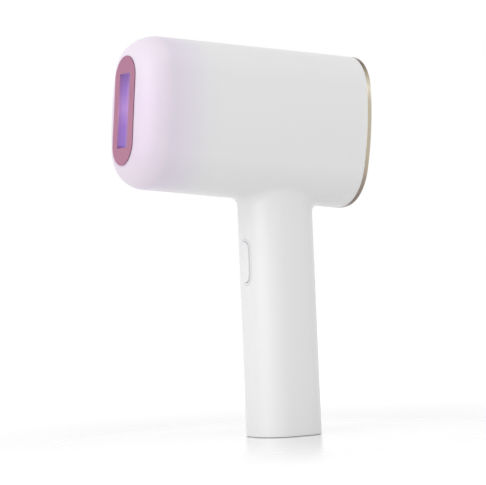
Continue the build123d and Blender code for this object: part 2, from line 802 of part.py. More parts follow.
def jack_pin():
    """Centre contact of the power socket, on a thinner root through the socket's back."""
    low = base_thickness + 1
    high = base_thickness + jack_height
    shoulder = high - jack_back - 2 * seat_gap
    contact = Pos(0, 0, (low + shoulder) / 2) * Cylinder(jack_pin_radius, shoulder - low)
    root = Pos(0, 0, (low + high) / 2) * Cylinder(jack_root_radius, high - low)
    return contact + root


def in_head(x, y, z):
    """A point of the head, in the part's own frame."""
    return (head_frame * Pos(x, y, z)).position


def power_lead_path():
    """From the socket up the handle's back corner, past the capacitor, to the power board."""
    corner = handle_width / 2 - wall - 4.3
    depth = handle_depth / 2 - wall - 4.5
    low = base_thickness + jack_height
    board_end = board_rear - 4
    points = [
        (0, 3.0, low + 0.1),
        (0, 3.0, low + 2.4),
        (-corner, depth, low + 2.4),
        (-corner, depth, head_axis_height - rear_height / 2 - 2),
        in_head(board_plane + 8, board_end, -11),
        in_head(board_plane + pin_gap, board_end, -11),
    ]
    return FilletPolyline(*points, radius=[1.2, 2.0, 4.0, 3.0])


def power_lead():
    return tube_along(power_lead_path(), power_lead_radius)


def trigger_lead():
    """From the trigger board up the front of the handle to the power board."""
    start = trigger_board_back() + pin_gap
    up = head_axis_height - rear_height / 2 - 2
    points = [
        (4, start, trigger_height + 9),
        (4, start + 3, trigger_height + 9),
        (4, start + 3, up),
        in_head(board_plane + 7, power_board_front + 12, -14),
        in_head(board_plane + pin_gap, power_board_front + 12, -14),
    ]
    return tube_along(FilletPolyline(*points, radius=[1.5, 4.0, 3.0]), lead_radius)


# --- trigger ---
def trigger_prism(width, length):
    """Obround bar through the handle's front wall at the trigger."""
    return Pos(0, 0, trigger_height) * extrude(Plane.XZ * obround(width, length), handle_depth)


def trigger_band(width, length, outer, inner):
    """Part of that bar between two depths that follow the handle's surface."""
    low = trigger_height - surround_length
    high = trigger_height + surround_length
    return (trigger_prism(width, length) & grip(outer, low, high)) - grip(inner, low - 1, high + 1)


def trigger_surround():
    """Ring let into the handle round the trigger, held by a flange behind the wall."""
    back = surround_back
    ring = trigger_band(surround_width, surround_length, -surround_proud, back)
    flange_width = surround_width + 2 * flange_reach
    ring += trigger_band(flange_width, surround_length + 2 * flange_reach, wall + pin_gap, back)
    return ring - trigger_prism(button_width + 2 * button_gap, button_length + 2 * button_gap)


def trigger_button():
    """Long press button with a flange that stops it behind the surround."""
    key = trigger_band(button_width, button_length, -button_proud, button_back)
    key = fillet(key.faces().sort_by(Axis.Y)[0].edges(), button_edge)
    flange_width = button_width + 2 * stop_reach
    flange_length = button_length + 2 * stop_reach
    return key + trigger_band(flange_width, flange_length, button_stop, button_back)


def trigger_switch():
    """Tact switch on the trigger board."""
    back = trigger_board_back() - board_thickness
    body = Pos(0, back - switch_height / 2, trigger_height) * Box(switch_size, switch_height, switch_size)
    well = Cylinder(plunger_radius + pin_gap, 2 * (plunger_proud + button_travel + 0.4))
    return body - Pos(0, back - switch_height, trigger_height) * Rot(90, 0, 0) * well


def switch_plunger():
    length = 2 * plunger_proud
    middle = trigger_front(button_back) + pin_gap + length / 2
    return Pos(0, middle, trigger_height) * Rot(90, 0, 0) * Cylinder(plunger_radius, length)


def trigger_board():
    middle = trigger_board_back() - board_thickness / 2
    board = Box(trigger_board_width, board_thickness, trigger_board_height)
    return Pos(0, middle, trigger_height) * board


# --- rear ---
def rear_trim_ring():
    """Gold-coloured band round the rear edge, with a tongue that plugs into the shells."""
    ring = plug(0, rear(trim_depth), rear(0))
    ring = fillet(ring.faces().sort_by(Axis.Y)[-1].edges(), trim_edge)
    ring -= plug(trim_band, rear(trim_depth + 1), rear(-1))
    tongue = plug(trim_inset, rear(tenon_end), rear(trim_depth))
    tongue -= plug(tenon_inset, rear(tenon_end + 1), rear(trim_depth - 1))
    return head_frame * (ring + tongue)


def rear_cover():
    """Cover inside the trim ring: air grille, display window, button hole and four pegs."""
    back = cover_back
    cover = plug(cover_inset, rear(back), rear(cover_recess))
    cover = fillet(cover.faces().sort_by(Axis.Y)[-1].edges(), cover_edge)
    lens = RectangleRounded(lens_width + 2 * seat_gap, lens_height + 2 * seat_gap, lens_corner)
    cover -= slab(Pos(0, lens_height_up) * lens, rear(cover_recess + lens_thickness), rear(0))
    view = RectangleRounded(lens_width - 2 * lens_rim, lens_height - 2 * lens_rim, 1)
    cover -= slab(Pos(0, lens_height_up) * view, rear(back + 1), rear(0))
    cover -= slab(Pos(0, mode_up) * Circle(mode_radius + mode_room), rear(back + 1), rear(0))
    rows = int(grille_radius / grille_pitch)
    for i in range(-rows, rows + 1):
        half = math.sqrt(grille_radius**2 - (i * grille_pitch) ** 2)
        slot = Pos(0, fan_up + i * grille_pitch) * SlotOverall(2 * half, grille_slot)
        cover -= slab(slot, rear(back + 1), rear(0))
    for x, z in peg_places:
        for side in (-1, 1):
            peg = Pos(side * x, z) * Circle(peg_radius)
            cover += slab(peg, rear(frame_end - 0.2), rear(back))
    return head_frame * cover


def display_lens():
    pane = Pos(0, lens_height_up) * RectangleRounded(lens_width, lens_height, lens_corner - seat_gap)
    return head_frame * slab(pane, rear(cover_recess + lens_thickness), rear(cover_recess))


def display_module():
    """Segmented display behind the lens."""
    block = Pos(0, lens_height_up) * Rectangle(lens_width - 2, lens_height - 2)
    return head_frame * slab(block, rear(rear_board_back - board_thickness), rear(cover_back + 0.2))


def rear_board():
    board = Pos(0, rear_board_up) * Rectangle(rear_board_width, rear_board_height)
    return head_frame * slab(board, rear(rear_board_back), rear(rear_board_back - board_thickness))


def mode_button():
    """Round press button for the mode, with a flange behind the cover."""
    key = slab(Pos(0, mode_up) * Circle(mode_radius), rear(mode_stop), rear(-mode_proud))
    key = fillet(key.faces().sort_by(Axis.Y)[-1].edges(), mode_edge)
    key += slab(Pos(0, mode_up) * Circle(mode_radius + 1), rear(mode_back), rear(mode_stop))
    return head_frame * key


def mode_switch():
    deck = rear_board_back - board_thickness
    body = slab(Pos(0, mode_up) * Rectangle(switch_size, switch_size), rear(deck), rear(deck - 1.5))
    body -= slab(Pos(0, mode_up) * Circle(mode_plunger_radius + pin_gap), rear(deck - 0.2), rear(0))
    return head_frame * body


def mode_plunger():
    end = rear_board_back - board_thickness - 0.2 - mode_travel - seat_gap
    return head_frame * slab(Pos(0, mode_up) * Circle(mode_plunger_radius), rear(end), rear(mode_back))


def rear_frame():
    """Frame across the rear of the head that carries the board, the fan and the cover's pegs."""
    frame = plug(wall + seat_gap, rear(frame_end), rear(rear_board_back))
    holes = [Pos(0, fan_up) * Circle(fan_bore - 0.2)]
    holes += [Pos(x, z) * Circle(screw_radius + pin_gap) for x, z in frame_screws_at + fan_screws_at]
    holes += [Pos(side * x, z) * Circle(peg_radius + pin_gap) for x, z in peg_places for side in (-1, 1)]
    for hole in holes:
        frame -= slab(hole, rear(frame_end + 1), rear(rear_board_back - 1))
    return head_frame * frame


def frame_screws():
    y = rear(rear_board_back)
    length = rear_frame_thickness + boss_length - 2
    one = Rot(-90, 0, 0) * screw(length)
    return group([head_frame * (Pos(x, y, z) * one) for x, z in frame_screws_at])


# --- fan, drawn about its own axis with local z to the rear ---
fan_frame = head_frame * Location((0, rear(frame_end + fan_depth / 2), fan_up), (-90, 0, 0))


def fan_housing():
    """Square fan frame with its motor mount on three struts."""
    frame = Box(fan_size, fan_size, fan_depth)
    frame = fillet(frame.edges().filter_by(Axis.Z), 2.5)
    frame -= Cylinder(fan_bore, fan_depth + 1)
    for x in (-fan_hole, fan_hole):
        for y in (-fan_hole, fan_hole):
            frame -= Pos(x, y, 0) * Cylinder(screw_radius + pin_gap, fan_depth + 1)
    low = -fan_depth / 2
    mount = Pos(0, 0, low + hub_plate / 2) * Cylinder(hub_radius - 0.2, hub_plate)
    for i in range(3):
        strut = Pos((fan_bore + 4) / 2, 0, low + hub_plate / 2) * Box(fan_bore - 3.4, 2, hub_plate)
        mount += Rot(0, 0, 120 * i + 30) * strut
    frame += mount
    frame -= Pos(0, 0, low) * Cylinder(bush_radius + pin_gap, 6)
    return fan_frame * frame


def fan_bush():
    """Bearing bush in the fan's motor mount."""
    low = -fan_depth / 2
    bush = Cylinder(bush_radius, 6.6) - Cylinder(shaft_radius + pin_gap, 7)
    return fan_frame * (Pos(0, 0, low + 3.3) * bush)


def fan_stator():
    low = -fan_depth / 2 + hub_plate
    ring = Cylinder(hub_radius - 1.6, 5) - Cylinder(bush_radius + pin_gap, 6)
    return fan_frame * (Pos(0, 0, low + 2.5) * ring)


def fan_rotor():
    """Hub cup with its ring of pitched blades."""
    low = -fan_depth / 2 + hub_plate + 0.5
    top = fan_depth / 2 - 0.8
    hub = Pos(0, 0, (low + top) / 2) * Cylinder(hub_radius, top - low)
    cup = Pos(0, 0, (low + top) / 2 - 0.9) * Cylinder(hub_radius - 0.8, top - low)
    blades = hub
    reach = fan_bore - 0.5
    for i in range(fan_blades):
        blade = Rot(38, 0, 0) * Box(reach, 0.9, 8.4)
        blade = Pos(reach / 2, 0, (low + top) / 2) * blade
        blades += Rot(0, 0, 360 * i / fan_blades) * blade
    blades &= Pos(0, 0, (low + top) / 2) * Cylinder(reach, top - low)
    return fan_frame * (blades - cup - Cylinder(shaft_radius, fan_depth))


def fan_shaft():
    low = -fan_depth / 2 + 0.4
    top = fan_depth / 2 - 0.8
    return fan_frame * (Pos(0, 0, (low + top) / 2) * Cylinder(shaft_radius, top - low))


def fan_screws():
    """Four screws through the fan's corners into the rear frame."""
    length = fan_depth + rear_frame_thickness - 0.3
    y = rear(frame_end + fan_depth)
    one = Rot(90, 0, 0) * screw(length)
    return group([head_frame * (Pos(x, y, z) * one) for x, z in fan_screws_at])


# --- leads ---
def lamp_leads():
    """High-voltage leads from the power board to the lamp's two ends."""
    leads = []
    y_lamp = front(lamp_set_back)
    end = lamp_length / 2 + 3
    for side in (-1, 1):
        points = [
            (0, y_lamp, side * (end + 0.1)),
            (0, y_lamp, side * (end + 1.2)),
            (0, y_lamp + 9, side * (end + 1.2)),
            (-6, power_board_front + 1, side * 17),
            (board_plane + 0.6, power_board_front + 3, side * 11.5),
        ]
        path = FilletPolyline(*points, radius=[0.9, 3.0, 3.0])
        leads.append(head_frame * tube_along(path, lead_radius))
    return group(leads)


def fan_lead():
    """From the fan's side along the shell to the back of the power board."""
    y_fan = rear(frame_end + fan_depth / 2)
    y_board = board_rear - 4
    out = board_plane - board_thickness - 2.6
    points = [
        (-fan_size / 2 - pin_gap, y_fan, fan_up),
        (out, y_fan, fan_up),
        (out, y_board, fan_up),
        (board_plane - board_thickness - pin_gap, y_board, fan_up),
    ]
    return head_frame * tube_along(FilletPolyline(*points, radius=1.4), lead_radius)


def main():
    os.makedirs("parts", exist_ok=True)
    left, right = housings()
    nodes = {
        "left_housing": left,
        "right_housing": right,
        "light_ring_cap": light_ring_cap(),
        "bezel": bezel(),
        "filter_window": filter_window(),
        "bezel_seal": bezel_seal(),
        "cold_plate": cold_plate(),
        "cooler_modules": cooler_modules(),
        "hot_plate": hot_plate(),
        "clamp_screws": clamp_screws(),
        "heat_pipes": heat_pipes(),
        "cooling_fins": cooling_fins(),
        "optics_chassis": optics_chassis(),
        "chassis_screws": chassis_screws(),
        "reflector": reflector(),
        "flash_lamp": flash_lamp(),
        "lamp_electrodes": lamp_electrodes(),
        "lamp_holders": lamp_holders(),
        "glow_board": glow_board(),
        "glow_leds": glow_leds(),
        "power_board": power_board(),
        "board_screws": board_screws(),
        "charge_transformer": charge_transformer(),
        "transformer_winding": transformer_winding(),
        "board_components": board_components(),
        "storage_capacitor": storage_capacitor(),
        "base_cap": base_cap(),
        "base_screws": base_screws(),
        "dc_jack": dc_jack(),
        "jack_pin": jack_pin(),
        "power_lead": power_lead(),
        "trigger_lead": trigger_lead(),
        "lamp_leads": lamp_leads(),
        "fan_lead": fan_lead(),
        "trigger_surround": trigger_surround(),
        "trigger_button": trigger_button(),
        "trigger_switch": trigger_switch(),
        "switch_plunger": switch_plunger(),
        "trigger_board": trigger_board(),
        "rear_trim_ring": rear_trim_ring(),
        "rear_cover": rear_cover(),
        "display_lens": display_lens(),
        "display_module": display_module(),
        "rear_board": rear_board(),
        "mode_button": mode_button(),
        "mode_switch": mode_switch(),
        "mode_plunger": mode_plunger(),
        "rear_frame": rear_frame(),
        "frame_screws": frame_screws(),
        "fan_housing": fan_housing(),
        "fan_bush": fan_bush(),
        "fan_stator": fan_stator(),
        "fan_rotor": fan_rotor(),
        "fan_shaft": fan_shaft(),
        "fan_screws": fan_screws(),
    }
    for name, shape in nodes.items():
        export_step(shape, f"parts/{name}.step")


main()
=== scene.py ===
import json
import math

import bmesh
import bpy
import numpy as np
from mathutils import Matrix, Vector


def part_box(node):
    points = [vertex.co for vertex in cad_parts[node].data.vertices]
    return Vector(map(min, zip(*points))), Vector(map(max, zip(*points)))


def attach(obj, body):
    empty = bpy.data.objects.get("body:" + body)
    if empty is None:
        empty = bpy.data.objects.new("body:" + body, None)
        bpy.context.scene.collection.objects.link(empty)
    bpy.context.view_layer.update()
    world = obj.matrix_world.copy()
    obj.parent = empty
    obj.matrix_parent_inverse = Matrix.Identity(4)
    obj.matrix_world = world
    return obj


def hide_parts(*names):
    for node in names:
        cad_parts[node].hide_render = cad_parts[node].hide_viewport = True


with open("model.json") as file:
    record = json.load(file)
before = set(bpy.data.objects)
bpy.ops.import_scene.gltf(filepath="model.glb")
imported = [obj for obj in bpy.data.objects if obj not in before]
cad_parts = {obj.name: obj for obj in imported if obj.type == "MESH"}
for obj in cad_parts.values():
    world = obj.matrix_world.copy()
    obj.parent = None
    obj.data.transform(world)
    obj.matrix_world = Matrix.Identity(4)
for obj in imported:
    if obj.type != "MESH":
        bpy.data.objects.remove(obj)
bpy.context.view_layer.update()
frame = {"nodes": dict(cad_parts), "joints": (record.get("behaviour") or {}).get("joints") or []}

nodes = frame["nodes"]

# ---------------------------------------------------------------------------
# Optics chassis: a black frame of glass-filled polycarbonate, injection moulded, that slides into
# the head first. The lamp, the coolers and the glow ring are all screwed or clipped to it.


def linear(code):
    """An sRGB hex colour as the linear red, green, blue and alpha that shaders take."""
    parts = [int(code[i : i + 2], 16) / 255 for i in (1, 3, 5)]
    light = [p / 12.92 if p <= 0.04045 else ((p + 0.055) / 1.055) ** 2.4 for p in parts]
    return (*light, 1.0)


def add(tree, kind, inputs, **settings):
    """Add one node. Each of its inputs is given a number or colour, or the output that feeds it."""
    made = tree.nodes.new(kind)
    for name, value in settings.items():
        setattr(made, name, value)
    for name, value in inputs.items():
        if isinstance(value, bpy.types.NodeSocket):
            tree.links.new(value, made.inputs[name])
        else:
            made.inputs[name].default_value = value
    return made


def begin(name):
    """A material with an empty tree, and its Object coordinates in millimetres."""
    material = bpy.data.materials.new(name)
    material.use_nodes = True
    tree = material.node_tree
    tree.nodes.clear()
    where = add(tree, "ShaderNodeTexCoord", {}).outputs["Object"]
    mm = add(tree, "ShaderNodeMapping", {"Vector": where, "Scale": (1000.0, 1000.0, 1000.0)})
    return material, tree, mm.outputs["Vector"]


def grained(name, low, high, rough, grain, height, metallic=0.0, stretch=(1, 1, 1), **constants):
    """A finish whose colour drifts slowly between two values. Its roughness follows a noise of that
    grain in mm, and so does its bump, of that height in mm. stretch draws the grain out along an
    axis, as brushing does."""
    drift_scale = 0.08  # patches in a millimetre: one about every 12 mm
    material, tree, mm = begin(name)
    drawn = add(tree, "ShaderNodeMapping", {"Vector": mm, "Scale": stretch}).outputs["Vector"]
    fine = add(tree, "ShaderNodeTexNoise", {"Vector": drawn, "Scale": 1 / grain, "Detail": 3.0})
    broad = add(tree, "ShaderNodeTexNoise", {"Vector": mm, "Scale": drift_scale, "Detail": 2.0})
    colour = add(
        tree,
        "ShaderNodeMix",
        {0: broad.outputs["Fac"], 6: linear(low), 7: linear(high)},
        data_type="RGBA",
    )
    gloss = add(
        tree,
        "ShaderNodeMapRange",
        {"Value": fine.outputs["Fac"], "To Min": rough[0], "To Max": rough[1]},
    )
    bump = add(tree, "ShaderNodeBump", {"Height": fine.outputs["Fac"], "Distance": height / 1000})
    shader = add(
        tree,
        "ShaderNodeBsdfPrincipled",
        {
            "Base Color": colour.outputs[2],
            "Roughness": gloss.outputs["Result"],
            "Normal": bump.outputs["Normal"],
            "Metallic": metallic,
            **constants,
        },
    )
    add(tree, "ShaderNodeOutputMaterial", {"Surface": shader.outputs["BSDF"]})
    return material


def dress(material, *names):
    """Give CAD nodes this material."""
    for name in names:
        nodes[name].material_slots[0].material = material


# Glass-filled polycarbonate, moulded: dull black, with the short fibres just showing as a fleck.
filled_black = grained(
    "glass_filled_polycarbonate", "#1B1B1E", "#232327", rough=(0.48, 0.62), grain=0.35, height=0.004
)
dress(filled_black, "optics_chassis", "rear_frame")

# ---------------------------------------------------------------------------
# Lamp and reflector: a quartz tube of xenon with a tungsten pin fused into each end, held by two
# alumina blocks in front of a trough of bright aluminium sheet bent to a U.

# Bright-rolled aluminium sheet, as good as a mirror along the roll and a little hazy across it.
rolled_bright = grained(
    "bright_rolled_aluminium",
    "#E4E6EA",
    "#F0F1F4",
    rough=(0.08, 0.16),
    grain=0.25,
    height=0.0006,
    metallic=1.0,
    stretch=(1, 0.06, 1),
)
dress(rolled_bright, "reflector")
# Fused quartz: clear and colourless, with a sharp highlight down its length.
quartz, tree, mm = begin("fused_quartz")
haze_scale = 0.2  # in a millimetre: one patch every 5 mm
haze = add(tree, "ShaderNodeTexNoise", {"Vector": mm, "Scale": haze_scale})
clear = add(
    tree, "ShaderNodeMapRange", {"Value": haze.outputs["Fac"], "To Min": 0.02, "To Max": 0.07}
)
shader = add(
    tree,
    "ShaderNodeBsdfPrincipled",
    {
        "Base Color": linear("#F4F2FA"),
        "Roughness": clear.outputs["Result"],
        "IOR": 1.46,
        "Transmission Weight": 0.9,
        "Emission Color": linear("#B48CF0"),
        "Emission Strength": 0.35,
    },
)
add(tree, "ShaderNodeOutputMaterial", {"Surface": shader.outputs["BSDF"]})
dress(quartz, "flash_lamp")
# Sintered alumina: chalk white and matt, with a faint grit.
alumina = grained(
    "sintered_alumina", "#E9E6DF", "#F3F1EC", rough=(0.62, 0.78), grain=0.12, height=0.006
)
dress(alumina, "lamp_holders", "cooler_modules")
# Zinc-plated steel, turned and pressed: a bluish grey shine, scuffed by the driver. The lamp's pins
# and the ground shaft are the same grey.
zinced = grained(
    "zinc_plated_steel",
    "#A9ADB3",
    "#C5C8CC",
    rough=(0.22, 0.38),
    grain=0.2,
    height=0.003,
    metallic=1.0,
)
dress(zinced, "lamp_electrodes", "clamp_screws", "chassis_screws", "board_screws")
dress(zinced, "base_screws", "frame_screws", "fan_screws", "fan_shaft")

# ---------------------------------------------------------------------------
# Cooling stack: two milled aluminium plates squeeze four thermoelectric coolers, and two copper
# heat pipes carry the warmth back to a stack of thin fins pressed onto them.

# Face-milled aluminium: satin, with cutter marks about 0.3 mm apart.
milled = grained(
    "milled_aluminium",
    "#B9BCC0",
    "#D0D2D5",
    rough=(0.24, 0.4),
    grain=0.3,
    height=0.004,
    metallic=1.0,
    stretch=(0.08, 1, 1),
)
dress(milled, "cold_plate", "hot_plate")
# Drawn copper, lightly tarnished where it was soldered: tube for the pipes, wire for the windings.
copper = grained(
    "drawn_copper",
    "#A4603D",
    "#C98460",
    rough=(0.2, 0.36),
    grain=0.5,
    height=0.003,
    metallic=1.0,
    stretch=(1, 1, 0.1),
)
dress(copper, "heat_pipes", "transformer_winding", "fan_stator")
# Stamped aluminium foil stock, rolled thin: paler and more even than the plates.
stamped = grained(
    "stamped_aluminium",
    "#C6C9CC",
    "#D9DBDD",
    rough=(0.26, 0.34),
    grain=0.6,
    height=0.002,
    metallic=1.0,
    stretch=(1, 0.1, 1),
)
dress(stamped, "cooling_fins")

# ---------------------------------------------------------------------------
# Circuit boards and what stands on them: glass epoxy under green lacquer with its copper just
# showing through, black moulded switches and transistors, white lamps, a ferrite core.

# Lacquered glass epoxy: square patches of copper, about 2 mm apart, show paler under the lacquer.
epoxy, tree, mm = begin("lacquered_glass_epoxy")
patch_scale = 0.55  # patches in a millimetre
patch_edge = 0.42  # share of a patch's reach past which the copper shows
cells = add(
    tree,
    "ShaderNodeTexVoronoi",
    {"Vector": mm, "Scale": patch_scale, "Randomness": 0.85},
    distance="CHEBYCHEV",
    feature="F1",
)
track = add(
    tree,
    "ShaderNodeMath",
    {0: cells.outputs["Distance"], 1: patch_edge},
    operation="GREATER_THAN",
)
green = add(
    tree,
    "ShaderNodeMix",
    {0: track.outputs[0], 6: linear("#14532D"), 7: linear("#1E6B3C")},
    data_type="RGBA",
)
lift = add(tree, "ShaderNodeBump", {"Height": track.outputs[0], "Distance": 0.03 / 1000})
shader = add(
    tree,
    "ShaderNodeBsdfPrincipled",
    {
        "Base Color": green.outputs[2],
        "Roughness": 0.32,
        "Normal": lift.outputs["Normal"],
        "Coat Weight": 0.4,
        "Coat Roughness": 0.2,
    },
)
add(tree, "ShaderNodeOutputMaterial", {"Surface": shader.outputs["BSDF"]})
dress(epoxy, "glow_board", "power_board", "rear_board", "trigger_board")
# Black epoxy and nylon, moulded: matt and even.
moulded_black = grained(
    "moulded_epoxy", "#16171A", "#1F2024", rough=(0.42, 0.6), grain=0.25, height=0.003
)
dress(moulded_black, "board_components", "trigger_switch", "switch_plunger")
dress(moulded_black, "mode_switch", "mode_plunger")
# Fired ferrite: dark grey and slightly metallic, ground on its faces.
ferrite = grained(
    "fired_ferrite", "#34353A", "#45464B", rough=(0.4, 0.6), grain=0.3, height=0.008, metallic=0.3
)
dress(ferrite, "charge_transformer")
# Phosphor-filled silicone over a lamp chip: a soft violet-white glow.
chip, tree, mm = begin("phosphor_silicone")
spot_scale = 0.8  # in a millimetre: a spot every 1.25 mm
spot = add(tree, "ShaderNodeTexNoise", {"Vector": mm, "Scale": spot_scale})
warm = add(
    tree,
    "ShaderNodeMix",
    {0: spot.outputs["Fac"], 6: linear("#D9BDF7"), 7: linear("#F3E6FF")},
    data_type="RGBA",
)
shader = add(
    tree,
    "ShaderNodeBsdfPrincipled",
    {
        "Base Color": warm.outputs[2],
        "Roughness": 0.4,
        "Emission Color": warm.outputs[2],
        "Emission Strength": 1.5,
    },
)
add(tree, "ShaderNodeOutputMaterial", {"Surface": shader.outputs["BSDF"]})
dress(chip, "glow_leds")

# ---------------------------------------------------------------------------
# Capacitor and leads: a deep-drawn aluminium can in a shrunk sleeve stands in the handle, and
# silicone and vinyl leads are laid in loops from board to board.

# Shrink sleeve: thin, glossy vinyl, slightly rippled where it drew down.
sleeve = grained(
    "shrunk_vinyl_sleeve",
    "#22262F",
    "#2B303B",
    rough=(0.22, 0.34),
    grain=2.5,
    height=0.02,
    stretch=(1, 1, 0.4),
)
dress(sleeve, "storage_capacitor")
# Extruded vinyl and silicone: a soft sheen. The die's marks are too fine to see, so they are drawn
# at 0.3 and 0.4 mm.
vinyl = grained(
    "extruded_vinyl", "#1A1B1E", "#242529", rough=(0.36, 0.5), grain=0.3, height=0.003
)
dress(vinyl, "power_lead", "trigger_lead", "fan_lead")
silicone_lead = grained(
    "extruded_silicone", "#DCDAD5", "#EAE8E4", rough=(0.45, 0.6), grain=0.4, height=0.003
)
dress(silicone_lead, "lamp_leads")

# ---------------------------------------------------------------------------
# Fan: a moulded frame with its motor on three struts, a bronze bush, and a wheel of seven blades
# moulded in one with its hub. It spins on a ground steel shaft.

# Glass-filled polyester, moulded: charcoal, with a dull shine along the blades.
polyester = grained(
    "glass_filled_polyester", "#1E1F22", "#292A2E", rough=(0.34, 0.5), grain=0.4, height=0.004
)
dress(polyester, "fan_housing", "fan_rotor")
# Sintered bronze holds oil in its pores, which show as a dark speckle.
bronze = grained(
    "sintered_bronze",
    "#7A5A2E",
    "#A98248",
    rough=(0.35, 0.6),
    grain=0.15,
    height=0.01,
    metallic=1.0,
)
dress(bronze, "fan_bush")

# ---------------------------------------------------------------------------
# Half shells: two mouldings of gloss white ABS that meet down the middle of head and handle. Next
# to the cap they carry painted light: a faint painted lavender glow, and a darker lavender colour
# that is painted shade.

spin = next(j for j in frame["joints"] if j["name"] == "fan_spin")
head_axis = np.array(spin["axis"])
head_up = np.array([0.0, -head_axis[2], head_axis[1]])
fan_below_axis = 12.0  # mm from the head's axis down to the fan's
on_axis = np.array(spin["pos_m"]) * 1000 + fan_below_axis * head_up
head_middle = on_axis - head_axis * on_axis[1] / head_axis[1]
head_pitch = math.atan2(-head_axis[2], head_axis[1])
head_front = 74.4  # mm from the handle's axis to the front plane
cap_depth = 11.5
# Where the painted glow and the painted shade next to the cap start to fade, and where they end.
painted_light_start, painted_light_reach = -4.0, 30.0  # where the tint starts to fade and ends, from the cap's edge


def head_mm(tree):
    """Object coordinates turned and shifted to the head: x across, y back along it, z up, in mm."""
    where = add(tree, "ShaderNodeTexCoord", {}).outputs["Object"]
    turned = add(
        tree,
        "ShaderNodeMapping",
        {
            "Vector": where,
            "Location": tuple(head_middle / 1000),
            "Rotation": (-head_pitch, 0.0, 0.0),
            "Scale": (0.001, 0.001, 0.001),
        },
        vector_type="TEXTURE",
    )
    return turned.outputs["Vector"]


def up_the_head(tree, height, stops):
    """Colours from the bottom to the top of a height in mm about the head's axis."""
    up = add(tree, "ShaderNodeSeparateXYZ", {"Vector": head_mm(tree)}).outputs["Z"]
    reach = {"Value": up, "From Min": -height / 2, "From Max": height / 2}
    level = add(tree, "ShaderNodeMapRange", reach)
    ramp = add(tree, "ShaderNodeValToRGB", {"Fac": level.outputs["Result"]})
    for place, code in stops[1:-1]:
        ramp.color_ramp.elements.new(place)
    for element, (place, code) in zip(ramp.color_ramp.elements, stops):
        element.position = place
        element.color = linear(code)
    return ramp.outputs["Color"]


# Gloss ABS, moulded in a polished tool: white with a soft reflection, a slow ripple of a few
# hundredths of a millimetre where the wall sank as it cooled, and a very fine tool grain.
shell_white, tree, mm = begin("moulded_gloss_abs")
ripple_scale, grain_scale = 0.12, 2.5  # in a millimetre: a wave every 8 mm, a grain every 0.4 mm
along = add(tree, "ShaderNodeSeparateXYZ", {"Vector": head_mm(tree)}).outputs["Y"]
# Painted light: next to the cap the shell's colour turns a darker lavender, painted shade, and it
# gives off a faint painted lavender glow. Both fade out back along the head.
painted_light_near_cap = add(
    tree,
    "ShaderNodeMapRange",
    {
        "Value": along,
        "From Min": cap_depth - head_front + painted_light_start,
        "From Max": cap_depth - head_front + painted_light_reach,
        "To Min": 1.0,
        "To Max": 0.0,
    },
    interpolation_type="SMOOTHERSTEP",
)
painted_glow_shade_tint = add(
    tree,
    "ShaderNodeMix",
    {0: painted_light_near_cap.outputs["Result"], 6: linear("#EBEBEB"), 7: linear("#DFD8E4")},
    data_type="RGBA",
)
ripple = add(tree, "ShaderNodeTexNoise", {"Vector": mm, "Scale": ripple_scale, "Detail": 1.0})
grain = add(tree, "ShaderNodeTexNoise", {"Vector": mm, "Scale": grain_scale, "Detail": 2.0})
gloss = add(
    tree, "ShaderNodeMapRange", {"Value": grain.outputs["Fac"], "To Min": 0.3, "To Max": 0.38}
)
sink = add(tree, "ShaderNodeBump", {"Height": ripple.outputs["Fac"], "Distance": 0.03 / 1000})
skin = add(
    tree,
    "ShaderNodeBump",
    {
        "Height": grain.outputs["Fac"],
        "Distance": 0.002 / 1000,
        "Normal": sink.outputs["Normal"],
    },
)
painted_glow_colour = add(
    tree,
    "ShaderNodeMix",
    {0: painted_light_near_cap.outputs["Result"], 6: linear("#000000"), 7: linear("#9A80A8")},
    data_type="RGBA",
)
shader = add(
    tree,
    "ShaderNodeBsdfPrincipled",
    {
        "Base Color": painted_glow_shade_tint.outputs[2],
        "Roughness": gloss.outputs["Result"],
        "Normal": skin.outputs["Normal"],
        "Emission Color": painted_glow_colour.outputs[2],
        "Emission Strength": 0.09,
        "IOR": 1.53,
    },
)
add(tree, "ShaderNodeOutputMaterial", {"Surface": shader.outputs["BSDF"]})
dress(shell_white, "left_housing", "right_housing")

# ---------------------------------------------------------------------------
# Light-ring cap: frosted polycarbonate, moulded, which snaps over the tongue of the two shells.
# Twelve lamps behind it fill it with lavender light, strongest round the nose.

front_width, front_height = 45.6, 68.2
rear_width, rear_height = 48.2, 70.4
head_length = 113.5
crown_flat = 3.36  # from the middle plane to the centre of each corner's arc
flank_bulge = 1.44  # how far the flank's arc stands out between the corners
crown_bulge = 0.3  # and the crown's
nose_radius = 13.0
wall = 2.0
lip = 0.8
lap = 2.0  # how far the cap reaches over the shells' tongue
seat_gap = 0.1
bezel_pocket = 1.2  # depth of the recess that the bezel sits in
pocket_edge = 0.12  # bevel round that recess
bezel_width, bezel_height = 20.0, 49.0
neck_width, neck_height, neck_corner = 14.0, 37.0, 1.5
neck_end = 5.0
turns = np.linspace(0, 2 * np.pi, 240, endpoint=False)
around = np.arctan2(front_height * np.sin(turns), front_width * np.cos(turns))


